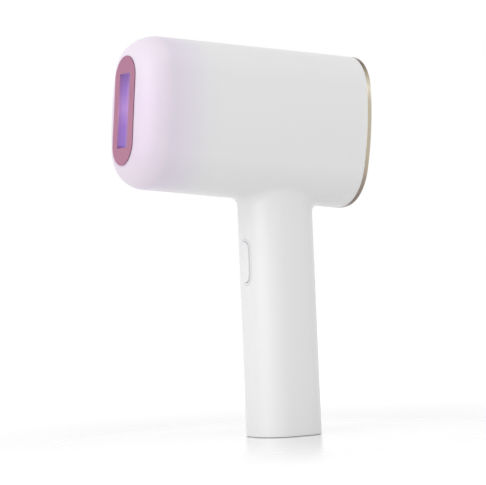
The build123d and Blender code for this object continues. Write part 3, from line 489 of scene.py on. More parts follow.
def oval(angle, width, height, corner, side_bulge, end_bulge, inset):
    """Distance from the middle to an oval of tangent arcs, drawn in by inset. A ray along d meets
    a circle of radius r about c at d.c + sqrt((d.c)^2 - c.c + r^2), and its slope says which arc
    it meets."""
    across, up = np.abs(np.cos(angle)), np.abs(np.sin(angle))
    corner_x, corner_z = width / 2 - corner - side_bulge, height / 2 - corner - end_bulge
    side_r = (corner_z**2 + side_bulge**2) / (2 * side_bulge)
    end_r = (corner_x**2 + end_bulge**2) / (2 * end_bulge)

    def meet(cx, cz, radius):
        middle = across * cx + up * cz
        return middle + np.sqrt(np.maximum(middle**2 - cx**2 - cz**2 + radius**2, 0))

    def join(nx, nz):
        size = np.hypot(nx, nz)
        return np.arctan2(
            corner_z + (corner - inset) * nz / size, corner_x + (corner - inset) * nx / size
        )

    slope = np.arctan2(up, across)
    to_side = join(side_r - side_bulge, corner_z)
    to_end = join(corner_x, end_r - end_bulge)
    side = meet(width / 2 - corner - side_r, 0, corner + side_r - inset)
    end = meet(0, height / 2 - corner - end_r, corner + end_r - inset)
    turn = meet(corner_x, corner_z, corner - inset)
    return np.where(slope < to_side, side, np.where(slope > to_end, end, turn))


def head_oval(angle, depth, inset):
    """Outline of the head at a depth behind its front plane; it widens evenly to the rear."""
    share = depth / head_length
    width = front_width + (rear_width - front_width) * share
    height = front_height + (rear_height - front_height) * share
    corner = width / 2 - crown_flat - flank_bulge
    return oval(angle, width, height, corner, flank_bulge, crown_bulge, inset)


def rounded(angle, width, height, corner):
    """Distance from the middle to a rectangle with rounded corners: a ray leaves through a straight
    side, or meets the circle at the corner."""
    across = np.maximum(np.abs(np.cos(angle)), 1e-12)
    up = np.maximum(np.abs(np.sin(angle)), 1e-12)
    cx, cz = width / 2 - corner, height / 2 - corner
    middle = across * cx + up * cz
    arc = middle + np.sqrt(np.maximum(middle**2 - cx**2 - cz**2 + corner**2, 0))
    side, end = width / 2 / across, height / 2 / up
    return np.where(side * up <= cz, side, np.where(end * across <= cx, end, arc))


def in_head(x, depth, z):
    """Head millimetres, depth counted from the front plane, to the object's frame in metres."""
    x, depth, z = np.broadcast_arrays(x, depth, z)
    point = head_middle + (depth - head_front)[..., None] * head_axis + z[..., None] * head_up
    point[..., 0] += x
    return point / 1000


def make(name, grid, body, material, closed=True, sharp=40.0, marks=None):
    """Mesh from a grid of points, rows by places round. Each row joins the next all the way round,
    and the last row joins the first if the profile is closed. A row that is one point is merged
    to one vertex. marks gives each row a number. Edges past the angle sharp stay hard."""
    rows, places = grid.shape[:2]
    count = rows if closed else rows - 1
    i, j = np.meshgrid(np.arange(count), np.arange(places), indexing="ij")
    i, j = i.ravel(), j.ravel()
    up, on = (i + 1) % rows, (j + 1) % places
    quads = np.stack([i * places + j, i * places + on, up * places + on, up * places + j], axis=1)
    mesh = bpy.data.meshes.new(name)
    mesh.from_pydata(grid.reshape(-1, 3), [], quads.tolist())
    if marks is not None:
        mark = mesh.attributes.new("mark", "FLOAT", "POINT")
        mark.data.foreach_set("value", np.repeat(np.asarray(marks, dtype=np.float32), places))
    welded = bmesh.new()
    welded.from_mesh(mesh)
    bmesh.ops.remove_doubles(welded, verts=welded.verts, dist=1e-7)
    bmesh.ops.recalc_face_normals(welded, faces=welded.faces)
    welded.to_mesh(mesh)
    welded.free()
    mesh.shade_smooth()
    mesh.set_sharp_from_angle(angle=math.radians(sharp))
    made = bpy.data.objects.new(name, mesh)
    made.data.materials.append(material)
    bpy.context.scene.collection.objects.link(made)
    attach(made, body)
    return made


def rings(profile):
    """Grid of points in the head from a profile of (distance for each angle, depth) pairs."""
    reach = np.stack([np.broadcast_to(r, around.shape) for r, depth in profile])
    depth = np.array([d for r, d in profile])[:, None]
    return in_head(reach * np.cos(around), depth, reach * np.sin(around))


def nose(inset, last, steps):
    """Rows over the rounded nose, inset inside its outside: a quarter circle from the flat front to
    the depth where the cap ends."""
    radius = nose_radius - inset
    stop = math.acos(max(1 - (last - inset) / radius, 0.0))
    turn = np.linspace(0, stop, steps)
    return [
        (head_oval(around, inset + d, nose_radius - s), inset + d)
        for d, s in zip(radius * (1 - np.cos(turn)), radius * np.sin(turn))
    ]


def widened(width, height, corner, room):
    """A rounded outline with that much room all round it."""
    return rounded(around, width + 2 * room, height + 2 * room, corner + room)


pocket = widened(bezel_width, bezel_height, bezel_width / 2, seat_gap)
neck_hole = widened(neck_width, neck_height, neck_corner, seat_gap)
flat_edge = head_oval(around, 0.0, nose_radius)
skirt = wall - lip - seat_gap
skirt_depth = cap_depth - lap - seat_gap
mouth = pocket + pocket_edge
profile = [(pocket, bezel_pocket), (pocket, pocket_edge), (mouth, 0.0)]
profile += [(mouth + (flat_edge - mouth) * s, 0.0) for s in (0.25, 0.5, 0.75)]
profile += nose(0.0, cap_depth, steps=28)
profile += [(head_oval(around, depth, skirt), depth) for depth in (cap_depth, skirt_depth)]
profile += nose(wall, skirt_depth, steps=12)[::-1]
profile += [(neck_hole, wall), (neck_hole, bezel_pocket)]

# Frosted polycarbonate: it scatters the lamps behind it, so it glows evenly, most where the wall
# faces the ring of lamps, and its fine texture leaves only a broad highlight.
frosted, tree, mm = begin("frosted_polycarbonate")
glow_full, glow_faded = 1.0, 12.5  # depths between which the glow fades
cloud_scale, frost_scale = 0.07, 4.0  # in a millimetre: a cloud every 14 mm, a grain every 0.25 mm
cloud_share = 0.2  # how much the noise of the resin shifts that fading
along = add(tree, "ShaderNodeSeparateXYZ", {"Vector": head_mm(tree)}).outputs["Y"]
depth = add(tree, "ShaderNodeMath", {0: along, 1: head_front}, operation="ADD")
glow = add(
    tree,
    "ShaderNodeMapRange",
    {"Value": depth.outputs[0], "From Min": glow_full, "From Max": glow_faded},
    interpolation_type="SMOOTHSTEP",
)
cloud = add(tree, "ShaderNodeTexNoise", {"Vector": mm, "Scale": cloud_scale, "Detail": 1.0})
uneven = add(
    tree,
    "ShaderNodeMath",
    {0: cloud.outputs["Fac"], 1: cloud_share, 2: glow.outputs["Result"]},
    operation="MULTIPLY_ADD",
)
light = add(
    tree,
    "ShaderNodeMix",
    {0: uneven.outputs[0], 6: linear("#B886BE"), 7: linear("#9A80A4")},
    data_type="RGBA",
)
# Painted shade: on the front of the cap the colour is darker low down, darkest a little above the
# bottom, and lighter towards the top. Further back it is one even colour.
stops = [(0.0, "#E0D8E0"), (0.2, "#D9CDDB"), (0.35, "#DCCFDE")]
stops += [(0.56, "#DED2E2"), (0.76, "#E1D8E3"), (1.0, "#E6DFE8")]
painted_shade_up_cap = up_the_head(tree, rear_height, stops)
milky_with_painted_shade = add(
    tree,
    "ShaderNodeMix",
    {0: glow.outputs["Result"], 6: painted_shade_up_cap, 7: linear("#E0D7E2")},
    data_type="RGBA",
)
frost = add(tree, "ShaderNodeTexNoise", {"Vector": mm, "Scale": frost_scale, "Detail": 2.0})
dull = add(tree, "ShaderNodeBump", {"Height": frost.outputs["Fac"], "Distance": 0.003 / 1000})
shader = add(
    tree,
    "ShaderNodeBsdfPrincipled",
    {
        "Base Color": milky_with_painted_shade.outputs[2],
        "Roughness": 0.42,
        "Normal": dull.outputs["Normal"],
        "IOR": 1.58,
        "Emission Color": light.outputs[2],
        "Emission Strength": 0.11,
    },
)
add(tree, "ShaderNodeOutputMaterial", {"Surface": shader.outputs["BSDF"]})
piece = make("light_ring_cap_skin", rings(profile), "body", frosted)
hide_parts("light_ring_cap")

# ---------------------------------------------------------------------------
# Seal and bezel: a silicone frame, then a die-cast aluminium bezel, blasted and anodised rose. Its
# neck drops through the cap to the cold plate, so the bezel chills the skin round the window.

window_width, window_height = 10.0, 33.0
bezel_proud = 0.4
edge_round = 0.25  # radius of the outer edge
rim = 0.2  # bevel round the mouth of the well
glass_set_back = 3.4
glass_edge = 1.0  # how far the glass reaches behind the bezel
joint_top = -0.03  # a row just proud of the cap's flat front

# Cast silicone: milky, soft and dull.
seal = grained("cast_silicone", "#C9C6C8", "#D8D5D8", rough=(0.5, 0.65), grain=0.5, height=0.004)
dress(seal, "bezel_seal")

# The well is a plain rectangle, so its four corners join the places round.
corners = np.arctan2(window_height, window_width) * np.array([1, -1]) + np.array([0, 2 * np.pi])
square = np.concatenate([corners, np.pi - corners]) % (2 * np.pi)
around = np.sort(np.concatenate([around % (2 * np.pi), square]))
hole = rounded(around, window_width, window_height, 0.0)
rebate_room = 2 * (glass_edge + seat_gap)
rebate = rounded(around, window_width + rebate_room, window_height + rebate_room, 0.0)
neck = rounded(around, neck_width, neck_height, neck_corner)
face_edge = rounded(around, bezel_width, bezel_height, bezel_width / 2)
inner, outer = hole + rim, face_edge - edge_round
profile = [(hole, depth) for depth in (glass_set_back, 2.2, 0.9, rim - bezel_proud)]
profile += [(inner, -bezel_proud)]
profile += [(inner + (outer - inner) * s, -bezel_proud) for s in (0.3, 0.6, 0.85, 1.0)]
for turn in np.linspace(0, np.pi / 2, 6)[1:]:
    drop = edge_round * (1 - math.cos(turn))
    profile += [(outer + edge_round * math.sin(turn), drop - bezel_proud)]
profile += [(face_edge, joint_top), (face_edge, bezel_pocket)]
profile += [(neck, bezel_pocket), (neck, neck_end), (rebate, neck_end), (rebate, glass_set_back)]
# Painted light for each row: above zero, how much painted violet light the row takes. Below zero,
# how much painted shadow darkens it.
well_light_gap_shade = [1.0, 0.95, 0.8, 0.5]  # up the well, from the glass to its mouth
well_light_gap_shade += [0.0] * 6  # across the rim and the face, to where its edge turns down
well_light_gap_shade += [-0.1, -0.6] + [-1.0] * 6  # down that edge into the joint, and along the neck
well_light_gap_shade += [1.0, 1.0]  # the rebate round the glass

# Rose anodised aluminium: a metal whose fine blasted grain spreads the reflection, dusky pink on
# the face. The walls of the well are given the violet light of the filter as painted light, in
# their colour and as a glow, strongest next to the glass, with painted shade at the very bottom of
# the well. The joint with the cap is a painted shadow: a dark colour on the bezel's edge, side and
# neck.
rose, tree, mm = begin("rose_anodised_aluminium")
blast_scale, dye_scale = 6.0, 0.09  # in a millimetre: a pit every 0.17 mm, a shade every 11 mm
mark = add(tree, "ShaderNodeAttribute", {}, attribute_name="mark").outputs["Fac"]
# Painted light up the well, brightest a little above the middle, with painted shade at the very
# bottom.
stops = [(0.0, "#3C2A60"), (0.05, "#9B83D3"), (0.3, "#9E82CE")]
stops += [(0.55, "#C1A4E0"), (0.8, "#9F85C9"), (1.0, "#8A73A8")]
lamp = up_the_head(tree, window_height, stops)
blast = add(tree, "ShaderNodeTexNoise", {"Vector": mm, "Scale": blast_scale, "Detail": 3.0})
dye = add(tree, "ShaderNodeTexNoise", {"Vector": mm, "Scale": dye_scale, "Detail": 1.0})
pink = add(
    tree,
    "ShaderNodeMix",
    {0: dye.outputs["Fac"], 6: linear("#A86C8C"), 7: linear("#B47890")},
    data_type="RGBA",
)
# Painted light: the walls of the well take a violet colour.
painted_violet_light = add(
    tree,
    "ShaderNodeMix",
    {0: mark, 6: pink.outputs[2], 7: linear("#8E6CA0")},
    data_type="RGBA",
)
lit = add(tree, "ShaderNodeMix", {0: mark, 6: linear("#000000"), 7: lamp}, data_type="RGBA")
# Painted shadow: the bezel's edge down into the joint with the cap, and its neck, turn dark.
gap_shadow_mask = add(tree, "ShaderNodeMath", {0: mark, 1: -1.0}, operation="MULTIPLY", use_clamp=True)
painted_gap_shadow = add(
    tree,
    "ShaderNodeMix",
    {0: gap_shadow_mask.outputs[0], 6: painted_violet_light.outputs[2], 7: linear("#3B262E")},
    data_type="RGBA",
)
gloss = add(
    tree, "ShaderNodeMapRange", {"Value": blast.outputs["Fac"], "To Min": 0.34, "To Max": 0.46}
)
grit = add(tree, "ShaderNodeBump", {"Height": blast.outputs["Fac"], "Distance": 0.004 / 1000})
shader = add(
    tree,
    "ShaderNodeBsdfPrincipled",
    {
        "Base Color": painted_gap_shadow.outputs[2],
        "Metallic": 0.5,
        "Roughness": gloss.outputs["Result"],
        "Normal": grit.outputs["Normal"],
        "Emission Color": lit.outputs[2],
        "Emission Strength": 0.6,
    },
)
add(tree, "ShaderNodeOutputMaterial", {"Surface": shader.outputs["BSDF"]})
piece = make("bezel_frame", rings(profile), "body", rose, marks=well_light_gap_shade)
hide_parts("bezel")

# ---------------------------------------------------------------------------
# Filter window: a ground pane of dyed glass with a dielectric coating, bonded into the bezel from
# behind. It holds back everything but the deep end of the lamp's light, so it glows violet.

glass_corner = 0.3
bevel = 0.15
pane = rounded(
    around, window_width + 2 * glass_edge, window_height + 2 * glass_edge, glass_corner
)
profile = [(pane * s, glass_set_back) for s in (0.0, 0.3, 0.6, 0.9)]
profile += [(pane - bevel, glass_set_back), (pane, glass_set_back + bevel)]
profile += [(pane, neck_end - bevel), (pane - bevel, neck_end)]
profile += [(pane * s, neck_end) for s in (0.9, 0.5, 0.0)]

# Coated filter glass: polished, so it mirrors a little, and lit from behind, darker towards both
# ends of the lamp and palest a little above the middle.
filter_glass, tree, mm = begin("coated_filter_glass")
stops = [(0.0, "#9D85AA"), (0.3, "#A885B0"), (0.55, "#BF95BE")]
stops += [(0.78, "#AF8EBB"), (1.0, "#8C73A6")]
lamp = up_the_head(tree, window_height, stops)
streak_scale = 1.2  # in a millimetre: polishing marks about 0.8 mm apart
streak = add(tree, "ShaderNodeTexNoise", {"Vector": mm, "Scale": streak_scale, "Detail": 2.0})
polish = add(
    tree, "ShaderNodeMapRange", {"Value": streak.outputs["Fac"], "To Min": 0.05, "To Max": 0.12}
)
shader = add(
    tree,
    "ShaderNodeBsdfPrincipled",
    {
        "Base Color": linear("#3A2466"),
        "Roughness": polish.outputs["Result"],
        "IOR": 1.52,
        "Emission Color": lamp,
        "Emission Strength": 0.85,
    },
)
add(tree, "ShaderNodeOutputMaterial", {"Surface": shader.outputs["BSDF"]})
piece = make("filter_pane", rings(profile), "body", filter_glass, closed=False)
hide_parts("filter_window")

# ---------------------------------------------------------------------------
# Trim ring: a pressed brass band, brushed along its length and plated champagne gold. Its tongue
# plugs into the rear of the two shells and holds them together.

trim_depth = 2.2  # length of the band along the head
trim_band = 2.4  # width of the band across the rear face
front_edge, cover_edge = 0.08, 0.12  # bevels next to the shells and to the cover
tongue_end = 5.2
tongue_out, tongue_in = 2.1, 3.2
rim_round = 0.35
around = np.arctan2(rear_height * np.sin(turns), rear_width * np.cos(turns))


def rear_rings(profile):
    """Rows round the head, each (inset inside its outside, depth in front of the rear plane)."""
    depths = [(inset, head_length - d) for inset, d in profile]
    return rings([(head_oval(around, depth, inset), depth) for inset, depth in depths])


profile = [(front_edge, trim_depth), (0.0, trim_depth - front_edge), (0.0, 1.4), (0.0, 0.8)]
for turn in np.linspace(0, np.pi / 2, 7):
    profile += [(rim_round * (1 - math.cos(turn)), rim_round * (1 - math.sin(turn)))]
profile += [(inset, 0.0) for inset in (1.0, 1.7, trim_band - cover_edge)]
profile += [(trim_band, cover_edge), (trim_band, trim_depth), (tongue_in, trim_depth)]
profile += [(tongue_in, tongue_end), (tongue_out, tongue_end), (tongue_out, trim_depth)]

# Plated brass, brushed: hair lines about 0.15 mm apart run round the band and draw its highlight
# out across them. Its colour carries a painted highlight a little above the middle of each side,
# and painted shade, browner, towards the corners.
champagne, tree, mm = begin("brushed_champagne_plating")
hair_scale = 6.5  # lines in a millimetre
hair_drawn = (0.05, 1.0, 0.05)  # twenty times as long as they are wide
turned = head_mm(tree)
lines = add(tree, "ShaderNodeMapping", {"Vector": turned, "Scale": hair_drawn})
hair = add(
    tree,
    "ShaderNodeTexNoise",
    {"Vector": lines.outputs["Vector"], "Scale": hair_scale, "Detail": 3.0},
)
# Painted highlight and painted shade, from the bottom of the band to its top.
painted_light_tones = [(0.0, "#766C6A"), (0.1, "#887E78"), (0.3, "#A2998A"), (0.45, "#B0A898")]
painted_light_tones += [(0.68, "#B4AE9E"), (0.77, "#D8D1C1"), (0.86, "#A49B89"), (0.93, "#685C56")]
painted_light_tones += [(1.0, "#5C524D")]
painted_highlight_shade = up_the_head(tree, rear_height, painted_light_tones)
shade = add(
    tree,
    "ShaderNodeMix",
    {0: hair.outputs["Fac"], 6: painted_highlight_shade, 7: linear("#DCD6CC")},
    data_type="RGBA",
    blend_type="SOFT_LIGHT",
)
gloss = add(
    tree, "ShaderNodeMapRange", {"Value": hair.outputs["Fac"], "To Min": 0.14, "To Max": 0.26}
)
groove = add(tree, "ShaderNodeBump", {"Height": hair.outputs["Fac"], "Distance": 0.004 / 1000})
shader = add(
    tree,
    "ShaderNodeBsdfPrincipled",
    {
        "Base Color": shade.outputs[2],
        "Metallic": 1.0,
        "Roughness": gloss.outputs["Result"],
        "Normal": groove.outputs["Normal"],
    },
)
add(tree, "ShaderNodeOutputMaterial", {"Surface": shader.outputs["BSDF"]})
piece = make("rear_trim_band", rear_rings(profile), "body", champagne)
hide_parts("rear_trim_ring")

# ---------------------------------------------------------------------------
# Rear cover and display: a white ABS plate with an air grille behind the fan, and a smoked
# acrylic lens over a lit display of five bars that show the light level.

# Spark-eroded ABS: a fine even texture, about 0.3 mm from grain to grain, that takes the shine off.
textured = grained(
    "spark_eroded_abs", "#E4E4E5", "#EBEBEC", rough=(0.48, 0.6), grain=0.3, height=0.012, IOR=1.53
)
dress(textured, "rear_cover")

lens_width, lens_height, lens_corner = 22.0, 13.0, 1.9
lens_up = 20.8
lens_front, lens_back = 0.4, 1.6
lens_edge, lens_turn = 0.2, 0.06  # the rounded front edge, and where its middle lies
back_bevel = 0.1


def stack(shape, middle_up, profile):
    """Rows of one outline, each (scale towards its middle, inset, depth from the rear plane)."""
    reach = np.stack([shape * scale - inset for scale, inset, d in profile])
    depth = head_length - np.array([d for scale, inset, d in profile])[:, None]
    return in_head(reach * np.cos(around), depth, middle_up + reach * np.sin(around))


lens = rounded(around, lens_width, lens_height, lens_corner)
profile = [(scale, 0.0, lens_front) for scale in (0.0, 0.4, 0.8)]
profile += [(1.0, lens_edge, lens_front), (1.0, lens_turn, lens_front + lens_turn)]
profile += [(1.0, 0.0, lens_front + lens_edge), (1.0, 0.0, lens_back - back_bevel)]
profile += [(1.0, back_bevel, lens_back), (0.5, 0.0, lens_back), (0.0, 0.0, lens_back)]

# Smoked acrylic, cast and polished: grey and glossy, with the dark film and the bars behind it
# showing through.
smoked, tree, mm = begin("smoked_acrylic")
wave_scale = 0.15  # in a millimetre: a wave every 7 mm
wave = add(tree, "ShaderNodeTexNoise", {"Vector": mm, "Scale": wave_scale, "Detail": 1.0})
polish = add(
    tree, "ShaderNodeMapRange", {"Value": wave.outputs["Fac"], "To Min": 0.03, "To Max": 0.08}
)
shader = add(
    tree,
    "ShaderNodeBsdfPrincipled",
    {
        "Base Color": linear("#8C8A96"),
        "Roughness": polish.outputs["Result"],
        "IOR": 1.49,
        "Transmission Weight": 0.92,
    },
)
add(tree, "ShaderNodeOutputMaterial", {"Surface": shader.outputs["BSDF"]})
pane = stack(lens, lens_up, profile)
piece = make("display_pane", pane, "body", smoked, closed=False)
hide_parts("display_lens")
# Black printed film over the display: flat, with a trace of reflection.
film = grained("printed_film", "#0F0F13", "#15151A", rough=(0.35, 0.45), grain=0.8, height=0.001)
dress(film, "display_module")

# Lit segments: film of an even cool white with a trace of violet.
segment, tree, mm = begin("lit_segment_film")
shade_scale = 0.4  # in a millimetre: a shade every 2.5 mm
even = add(tree, "ShaderNodeTexNoise", {"Vector": mm, "Scale": shade_scale})
tone = add(
    tree,
    "ShaderNodeMix",
    {0: even.outputs["Fac"], 6: linear("#CFC4F0"), 7: linear("#F2EEFF")},
    data_type="RGBA",
)
shader = add(
    tree,
    "ShaderNodeBsdfPrincipled",
    {
        "Base Color": tone.outputs[2],
        "Roughness": 0.5,
        "Emission Color": tone.outputs[2],
        "Emission Strength": 1.2,
    },
)
add(tree, "ShaderNodeOutputMaterial", {"Surface": shader.outputs["BSDF"]})

# Each bar is an outline with rounded corners, from just under the display's face to just over it.
bar_count = 5
bar_width, bar_height, bar_pitch, bar_corner = 1.7, 5.0, 2.9, 0.5
bar_under, bar_proud, bar_edge = 0.02, 0.12, 0.05
shortest = 0.45  # the bars grow in even steps from this share of the full height
display_front = 2.4  # depth of the display's face from the rear plane
curve = 2 * np.pi * np.arange(24) / 24
for k in range(bar_count):
    tall = bar_height * (shortest + (1 - shortest) * (k + 1) / bar_count)
    outline = rounded(curve, bar_width, tall, bar_corner)
    reach = np.stack([outline * scale for scale in (1.0, 1.0, 0.9, 0.0)])
    rise = np.array([bar_under, bar_edge - bar_proud, -bar_proud, -bar_proud])[:, None]
    bar = in_head(
        (bar_count // 2 - k) * bar_pitch + reach * np.cos(curve),
        head_length - display_front - rise,
        lens_up + tall / 2 - bar_height / 2 + reach * np.sin(curve),
    )
    make(f"level_bar_{k + 1}", bar, "body", segment, closed=False)

# ---------------------------------------------------------------------------
# Mode button: a round ABS key, moulded glossy with a shallow dish for the fingertip and a fine
# turned line round it. Its flange catches behind the cover, and it presses a switch on the board.

mode_radius, mode_up = 5.0, 7.0
mode_proud = 0.3
mode_stop, mode_back = 2.3, 3.1  # front and back of the flange
mode_flange = 1.0
dish_reach, dish_deep = 0.72, 0.22  # share of the radius, and mm
ring_at, ring_wide, ring_deep = 0.78, 0.03, 0.08  # shares of the radius, and mm
mode_edge = 0.4
disc = np.full_like(around, mode_radius)
profile = []
for scale in np.linspace(0, dish_reach, 10):
    profile += [(scale, 0.0, -mode_proud + dish_deep * (1 - (scale / dish_reach) ** 2))]
for side, deep in ((-1, 0.0), (-1 / 3, ring_deep), (1 / 3, ring_deep), (1, 0.0)):
    profile += [(ring_at + side * ring_wide, 0.0, deep - mode_proud)]
for turn in np.linspace(0, np.pi / 2, 6):
    inset, drop = mode_edge * (1 - math.sin(turn)), mode_edge * (1 - math.cos(turn))
    profile += [(1.0, inset, drop - mode_proud)]
profile += [(1.0, 0.0, mode_stop), (1.0, -mode_flange, mode_stop)]
profile += [(1.0, -mode_flange, mode_back), (0.0, 0.0, mode_back)]
# Polished ABS: the same white as the shells with a tighter highlight.
key_white = grained(
    "polished_abs", "#E9E9EA", "#EFEFF0", rough=(0.2, 0.28), grain=0.6, height=0.002, IOR=1.53
)
dished = stack(disc, mode_up, profile)
piece = make("mode_key_top", dished, "mode_key", key_white, closed=False)
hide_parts("mode_button")

# ---------------------------------------------------------------------------
# Trigger: a long ABS key in a separate moulded surround, let into the front of the handle. Both
# follow the curve of the handle, and a flange behind the wall keeps each of them in.

handle_width, handle_depth = 31.8, 32.8
handle_flat, handle_bulge = 3.3, 0.3  # half width of the front's arc, and how far it stands out
handle_draft = 0.3  # how much the section is drawn in over the handle's length
handle_top = 141.0
key_low, key_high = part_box("trigger_button")
trigger_up = (key_low[2] + key_high[2]) / 2 * 1000
surround_width, surround_length = 9.5, 21.0
surround_proud = 0.15
surround_rows = (2.0, 0.1)  # insets of two rows up its side
surround_step, surround_back = 2.05, 3.2  # front and back of its flange
surround_flange = 1.4
# The rounded edge of the surround, each (distance in from its side, inset under the handle's skin).
surround_round = [(0.0, 0.02), (0.06, -0.08), (0.18, -0.13)]
key_width, key_length = 6.8, 18.4
key_gap = 0.2
key_proud, key_round = 0.8, 0.36
key_dish, key_dish_reach = 0.12, 0.86  # mm, and share of the key's width
key_side = 0.6
key_stop, key_back = 3.3, 4.3  # front and back of its flange
key_flange = 1.3


def handle_front(x, z, inset):
    """Y of the handle's front, drawn in by inset: the flat arc in the middle, and the corner's arc
    past it. An arc of radius r about c is c + sqrt(r^2 - x^2). The draft draws the whole section
    in with height."""
    corner = min(handle_width, handle_depth) / 2 - handle_flat - handle_bulge
    corner_x = handle_width / 2 - corner - handle_bulge
    corner_y = handle_depth / 2 - corner - handle_bulge
    flat_r = (corner_x**2 + handle_bulge**2) / (2 * handle_bulge)
    drawn = inset + handle_draft * z / handle_top
    far = np.abs(x)
    flat = handle_depth / 2 - corner - flat_r + np.sqrt((corner + flat_r - drawn) ** 2 - far**2)
    bend = corner_y + np.sqrt(np.maximum((corner - drawn) ** 2 - (far - corner_x) ** 2, 0))
    reach_x = corner_x * (1 + (corner - drawn) / flat_r)
    return -np.where(far < reach_x, flat, bend)


# The places round are gathered at the two ends of the trigger, where its outline bends.
gathered = 2.2
around = np.sort(np.arctan2(gathered * np.sin(turns), np.cos(turns)) % (2 * np.pi))


def let_in(profile):
    """Rows in the handle's front, each (reach for each angle, inset under its surface)."""
    reach = np.stack([np.broadcast_to(r, around.shape) for r, inset in profile])
    inset = np.array([i for r, i in profile])[:, None]
    x, z = reach * np.cos(around), trigger_up + reach * np.sin(around)
    return np.stack([x, handle_front(x, z, inset), z], axis=-1) / 1000


def long_round(width, length, wider=0.0):
    """A long outline with round ends, made wider by that much all round."""
    width, length = width + 2 * wider, length + 2 * wider
    return rounded(around, width, length, width / 2)


inner = long_round(key_width, key_length, key_gap)
outer = long_round(surround_width, surround_length)
flange = long_round(surround_width, surround_length, surround_flange)
turned_in = surround_round[-1][0]
profile = [(outer, inset) for inset in surround_rows]
profile += [(outer - side, drop) for side, drop in surround_round]
profile += [
    (inner + (outer - inner - turned_in) * share, -surround_proud) for share in (0.75, 0.45)
]
profile += [(inner + side, drop) for side, drop in surround_round[::-1]]
profile += [(inner, surround_back), (flange, surround_back)]
profile += [(flange, surround_step), (outer, surround_step)]
# Satin ABS: moulded in a vapour-honed tool, a shade greyer and duller than the gloss shell.
satin = grained(
    "satin_abs", "#E2E2E4", "#E9E9EB", rough=(0.4, 0.5), grain=0.4, height=0.003, IOR=1.53
)
piece = make("trigger_surround_band", let_in(profile), "body", satin)
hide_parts("trigger_surround")

key = long_round(key_width, key_length)
flange = long_round(key_width, key_length, key_flange)
profile = []
for share in np.linspace(0, key_dish_reach, 10):
    profile += [(key * share, -key_proud + key_dish * (1 - share / key_dish_reach) ** 2)]
for turn in np.linspace(0, np.pi / 2, 7):
    side, drop = key_round * (1 - math.sin(turn)), key_round * (1 - math.cos(turn))
    profile += [(key - side, drop - key_proud)]
profile += [(key, key_side), (key, key_stop), (flange, key_stop)]
profile += [(flange * share, key_back) for share in (1.0, 0.5, 0.0)]
piece = make("trigger_key", let_in(profile), "trigger", key_white, closed=False)
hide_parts("trigger_button")

# ---------------------------------------------------------------------------
# Foot: a powder-coated zinc casting that weights the handle and closes it, with vents, two screws
# and the power socket. The socket is black nylon round a nickel-plated centre contact.

# Powder coat over zinc: white, with the faint orange peel of baked powder.
powder = grained(
    "powder_coated_zinc", "#E2E2E3", "#EAEAEB", rough=(0.42, 0.55), grain=0.6, height=0.012
)
dress(powder, "base_cap")
# Nylon, moulded: black and satin.
nylon = grained("moulded_nylon", "#17181A", "#202124", rough=(0.4, 0.55), grain=0.3, height=0.004)
dress(nylon, "dc_jack")
# Nickel plate over brass: warm grey and mirror smooth but for the turning marks.
nickel = grained(
    "nickel_plated_brass",
    "#B3A98F",
    "#CFC6AE",
    rough=(0.16, 0.28),
    grain=0.2,
    height=0.002,
    metallic=1.0,
    stretch=(1, 1, 4),
)
dress(nickel, "jack_pin")

# ---------------------------------------------------------------------------
# Table and light: a pale polished table top, a large soft lamp in front, a weaker one above the
# left flank, a weak low one behind, and an even white surround.

table_reach = 4.0  # metres from the middle to each side
# The white that the table gives off grows from the first distance to the second, which leaves a
# painted shade round the foot.
shade_near, shade_far = 60.0, 450.0  # mm from the foot between which the paint gets lighter
polish_end = 260.0  # mm from the foot to where the polish has gone
corners = table_reach * np.array([[-1, -1, 0], [1, -1, 0], [1, 1, 0], [-1, 1, 0]], dtype=float)
top = bpy.data.meshes.new("table_top")
top.from_pydata(corners, [], [(0, 1, 2, 3)])
table = bpy.data.objects.new("table_top", top)
bpy.context.scene.collection.objects.link(table)


def looked_at(tree):
    """1 where a surface is seen by the camera, in a mirror or through glass, 0 where it only lights
    other things."""
    ray = add(tree, "ShaderNodeLightPath", {}).outputs
    seen = ray["Is Camera Ray"]
    for way in ("Is Glossy Ray", "Is Transmission Ray"):
        seen = add(tree, "ShaderNodeMath", {0: seen, 1: ray[way]}, operation="MAXIMUM").outputs[0]
    return seen


# White paint under clear lacquer: the coat mirrors what stands on it at a low angle. It is polished
# in the middle and matt further out, so the mirror image fades. The white that the paint gives off
# lights nothing else, and it is weaker near the foot, which leaves a painted shade round it.
lacquer, tree, mm = begin("white_lacquer")
away = add(tree, "ShaderNodeVectorMath", {0: mm}, operation="LENGTH").outputs["Value"]
# Painted shade: less white is given off near the foot.
floor_glow_painted_shade = add(
    tree,
    "ShaderNodeMapRange",
    {"Value": away, "From Min": shade_near, "From Max": shade_far, "To Min": 0.21, "To Max": 0.46},
    interpolation_type="SMOOTHSTEP",
)
strength = add(
    tree,
    "ShaderNodeMath",
    {0: looked_at(tree), 1: floor_glow_painted_shade.outputs["Result"]},
    operation="MULTIPLY",
)
matt = add(
    tree,
    "ShaderNodeMapRange",
    {"Value": away, "From Min": 0.0, "From Max": polish_end, "To Min": 0.04, "To Max": 0.7},
    interpolation_type="SMOOTHSTEP",
)
shader = add(
    tree,
    "ShaderNodeBsdfPrincipled",
    {
        "Base Color": linear("#F0F0F0"),
        "Roughness": 0.9,
        "Specular IOR Level": 0.0,
        "Coat Weight": 1.0,
        "Coat Roughness": matt.outputs["Result"],
        "Coat IOR": 1.5,
        "Emission Color": linear("#FFFFFF"),
        "Emission Strength": strength.outputs[0],
    },
)
add(tree, "ShaderNodeOutputMaterial", {"Surface": shader.outputs["BSDF"]})
top.materials.append(lacquer)

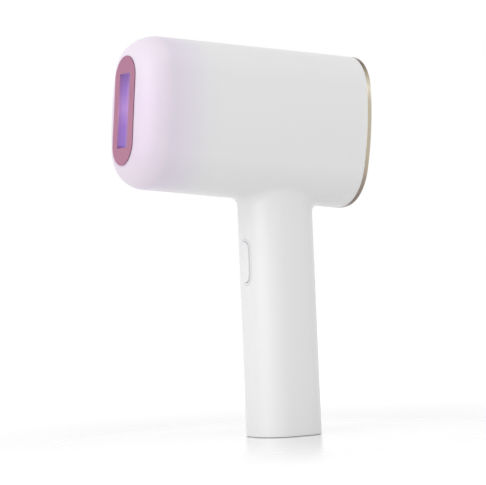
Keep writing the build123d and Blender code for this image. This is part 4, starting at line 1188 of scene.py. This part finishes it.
world = bpy.data.worlds.new("white_surround")
bpy.context.scene.world = world
world.use_nodes = True
tree = world.node_tree
tree.nodes.clear()
ambient = 0.645  # what the surround gives to things that are lit by it
strength = add(
    tree, "ShaderNodeMapRange", {"Value": looked_at(tree), "To Min": ambient, "To Max": 1.0}
)
backdrop = add(
    tree,
    "ShaderNodeBackground",
    {"Color": linear("#FFFFFF"), "Strength": strength.outputs["Result"]},
)
add(tree, "ShaderNodeOutputWorld", {"Surface": backdrop.outputs["Background"]})

middle = Vector((0.0, -0.015, 0.1))  # of the object, which every lamp faces
for name, place, size, watts in (
    ("soft_front", (0.2, -1.1, 0.38), 1.1, 5.8),
    ("soft_above", (0.55, 0.0, 1.15), 1.0, 2.3),
    ("soft_rear", (0.45, 0.9, 0.1), 0.9, 0.7),
):
    lamp = bpy.data.lights.new(name, "AREA")
    lamp.size = size
    lamp.energy = watts
    holder = bpy.data.objects.new(name, lamp)
    holder.location = place
    holder.rotation_euler = (Vector(place) - middle).to_track_quat("Z", "Y").to_euler()
    bpy.context.scene.collection.objects.link(holder)

# ---------------------------------------------------------------------------
# Camera: a long lens about a metre off and about 80 mm above the table, that looks at the left
# flank from ahead and is tipped a couple of degrees.

turn, lift, tip = math.radians(28.475), -0.010691, math.radians(2.39)
aside, above, off = -0.01510, 0.08857, 1.0177  # metres from the origin, along the camera's axes
right = Vector((math.sin(turn), math.cos(turn), 0.0))
back = Vector((math.cos(turn) * math.cos(lift), -math.sin(turn) * math.cos(lift), math.sin(lift)))
up = back.cross(right)
optics = bpy.data.cameras.new("camera")
optics.lens = 164.957
optics.sensor_width = 36.0
camera = bpy.data.objects.new("camera", optics)
view_right = math.cos(tip) * right - math.sin(tip) * up
view_up = math.sin(tip) * right + math.cos(tip) * up
pose = Matrix((view_right, view_up, back)).transposed().to_4x4()
pose.translation = aside * right + above * up + off * back
camera.matrix_world = pose
bpy.context.scene.collection.objects.link(camera)
bpy.context.scene.camera = camera
bpy.context.scene.view_settings.view_transform = "Standard"
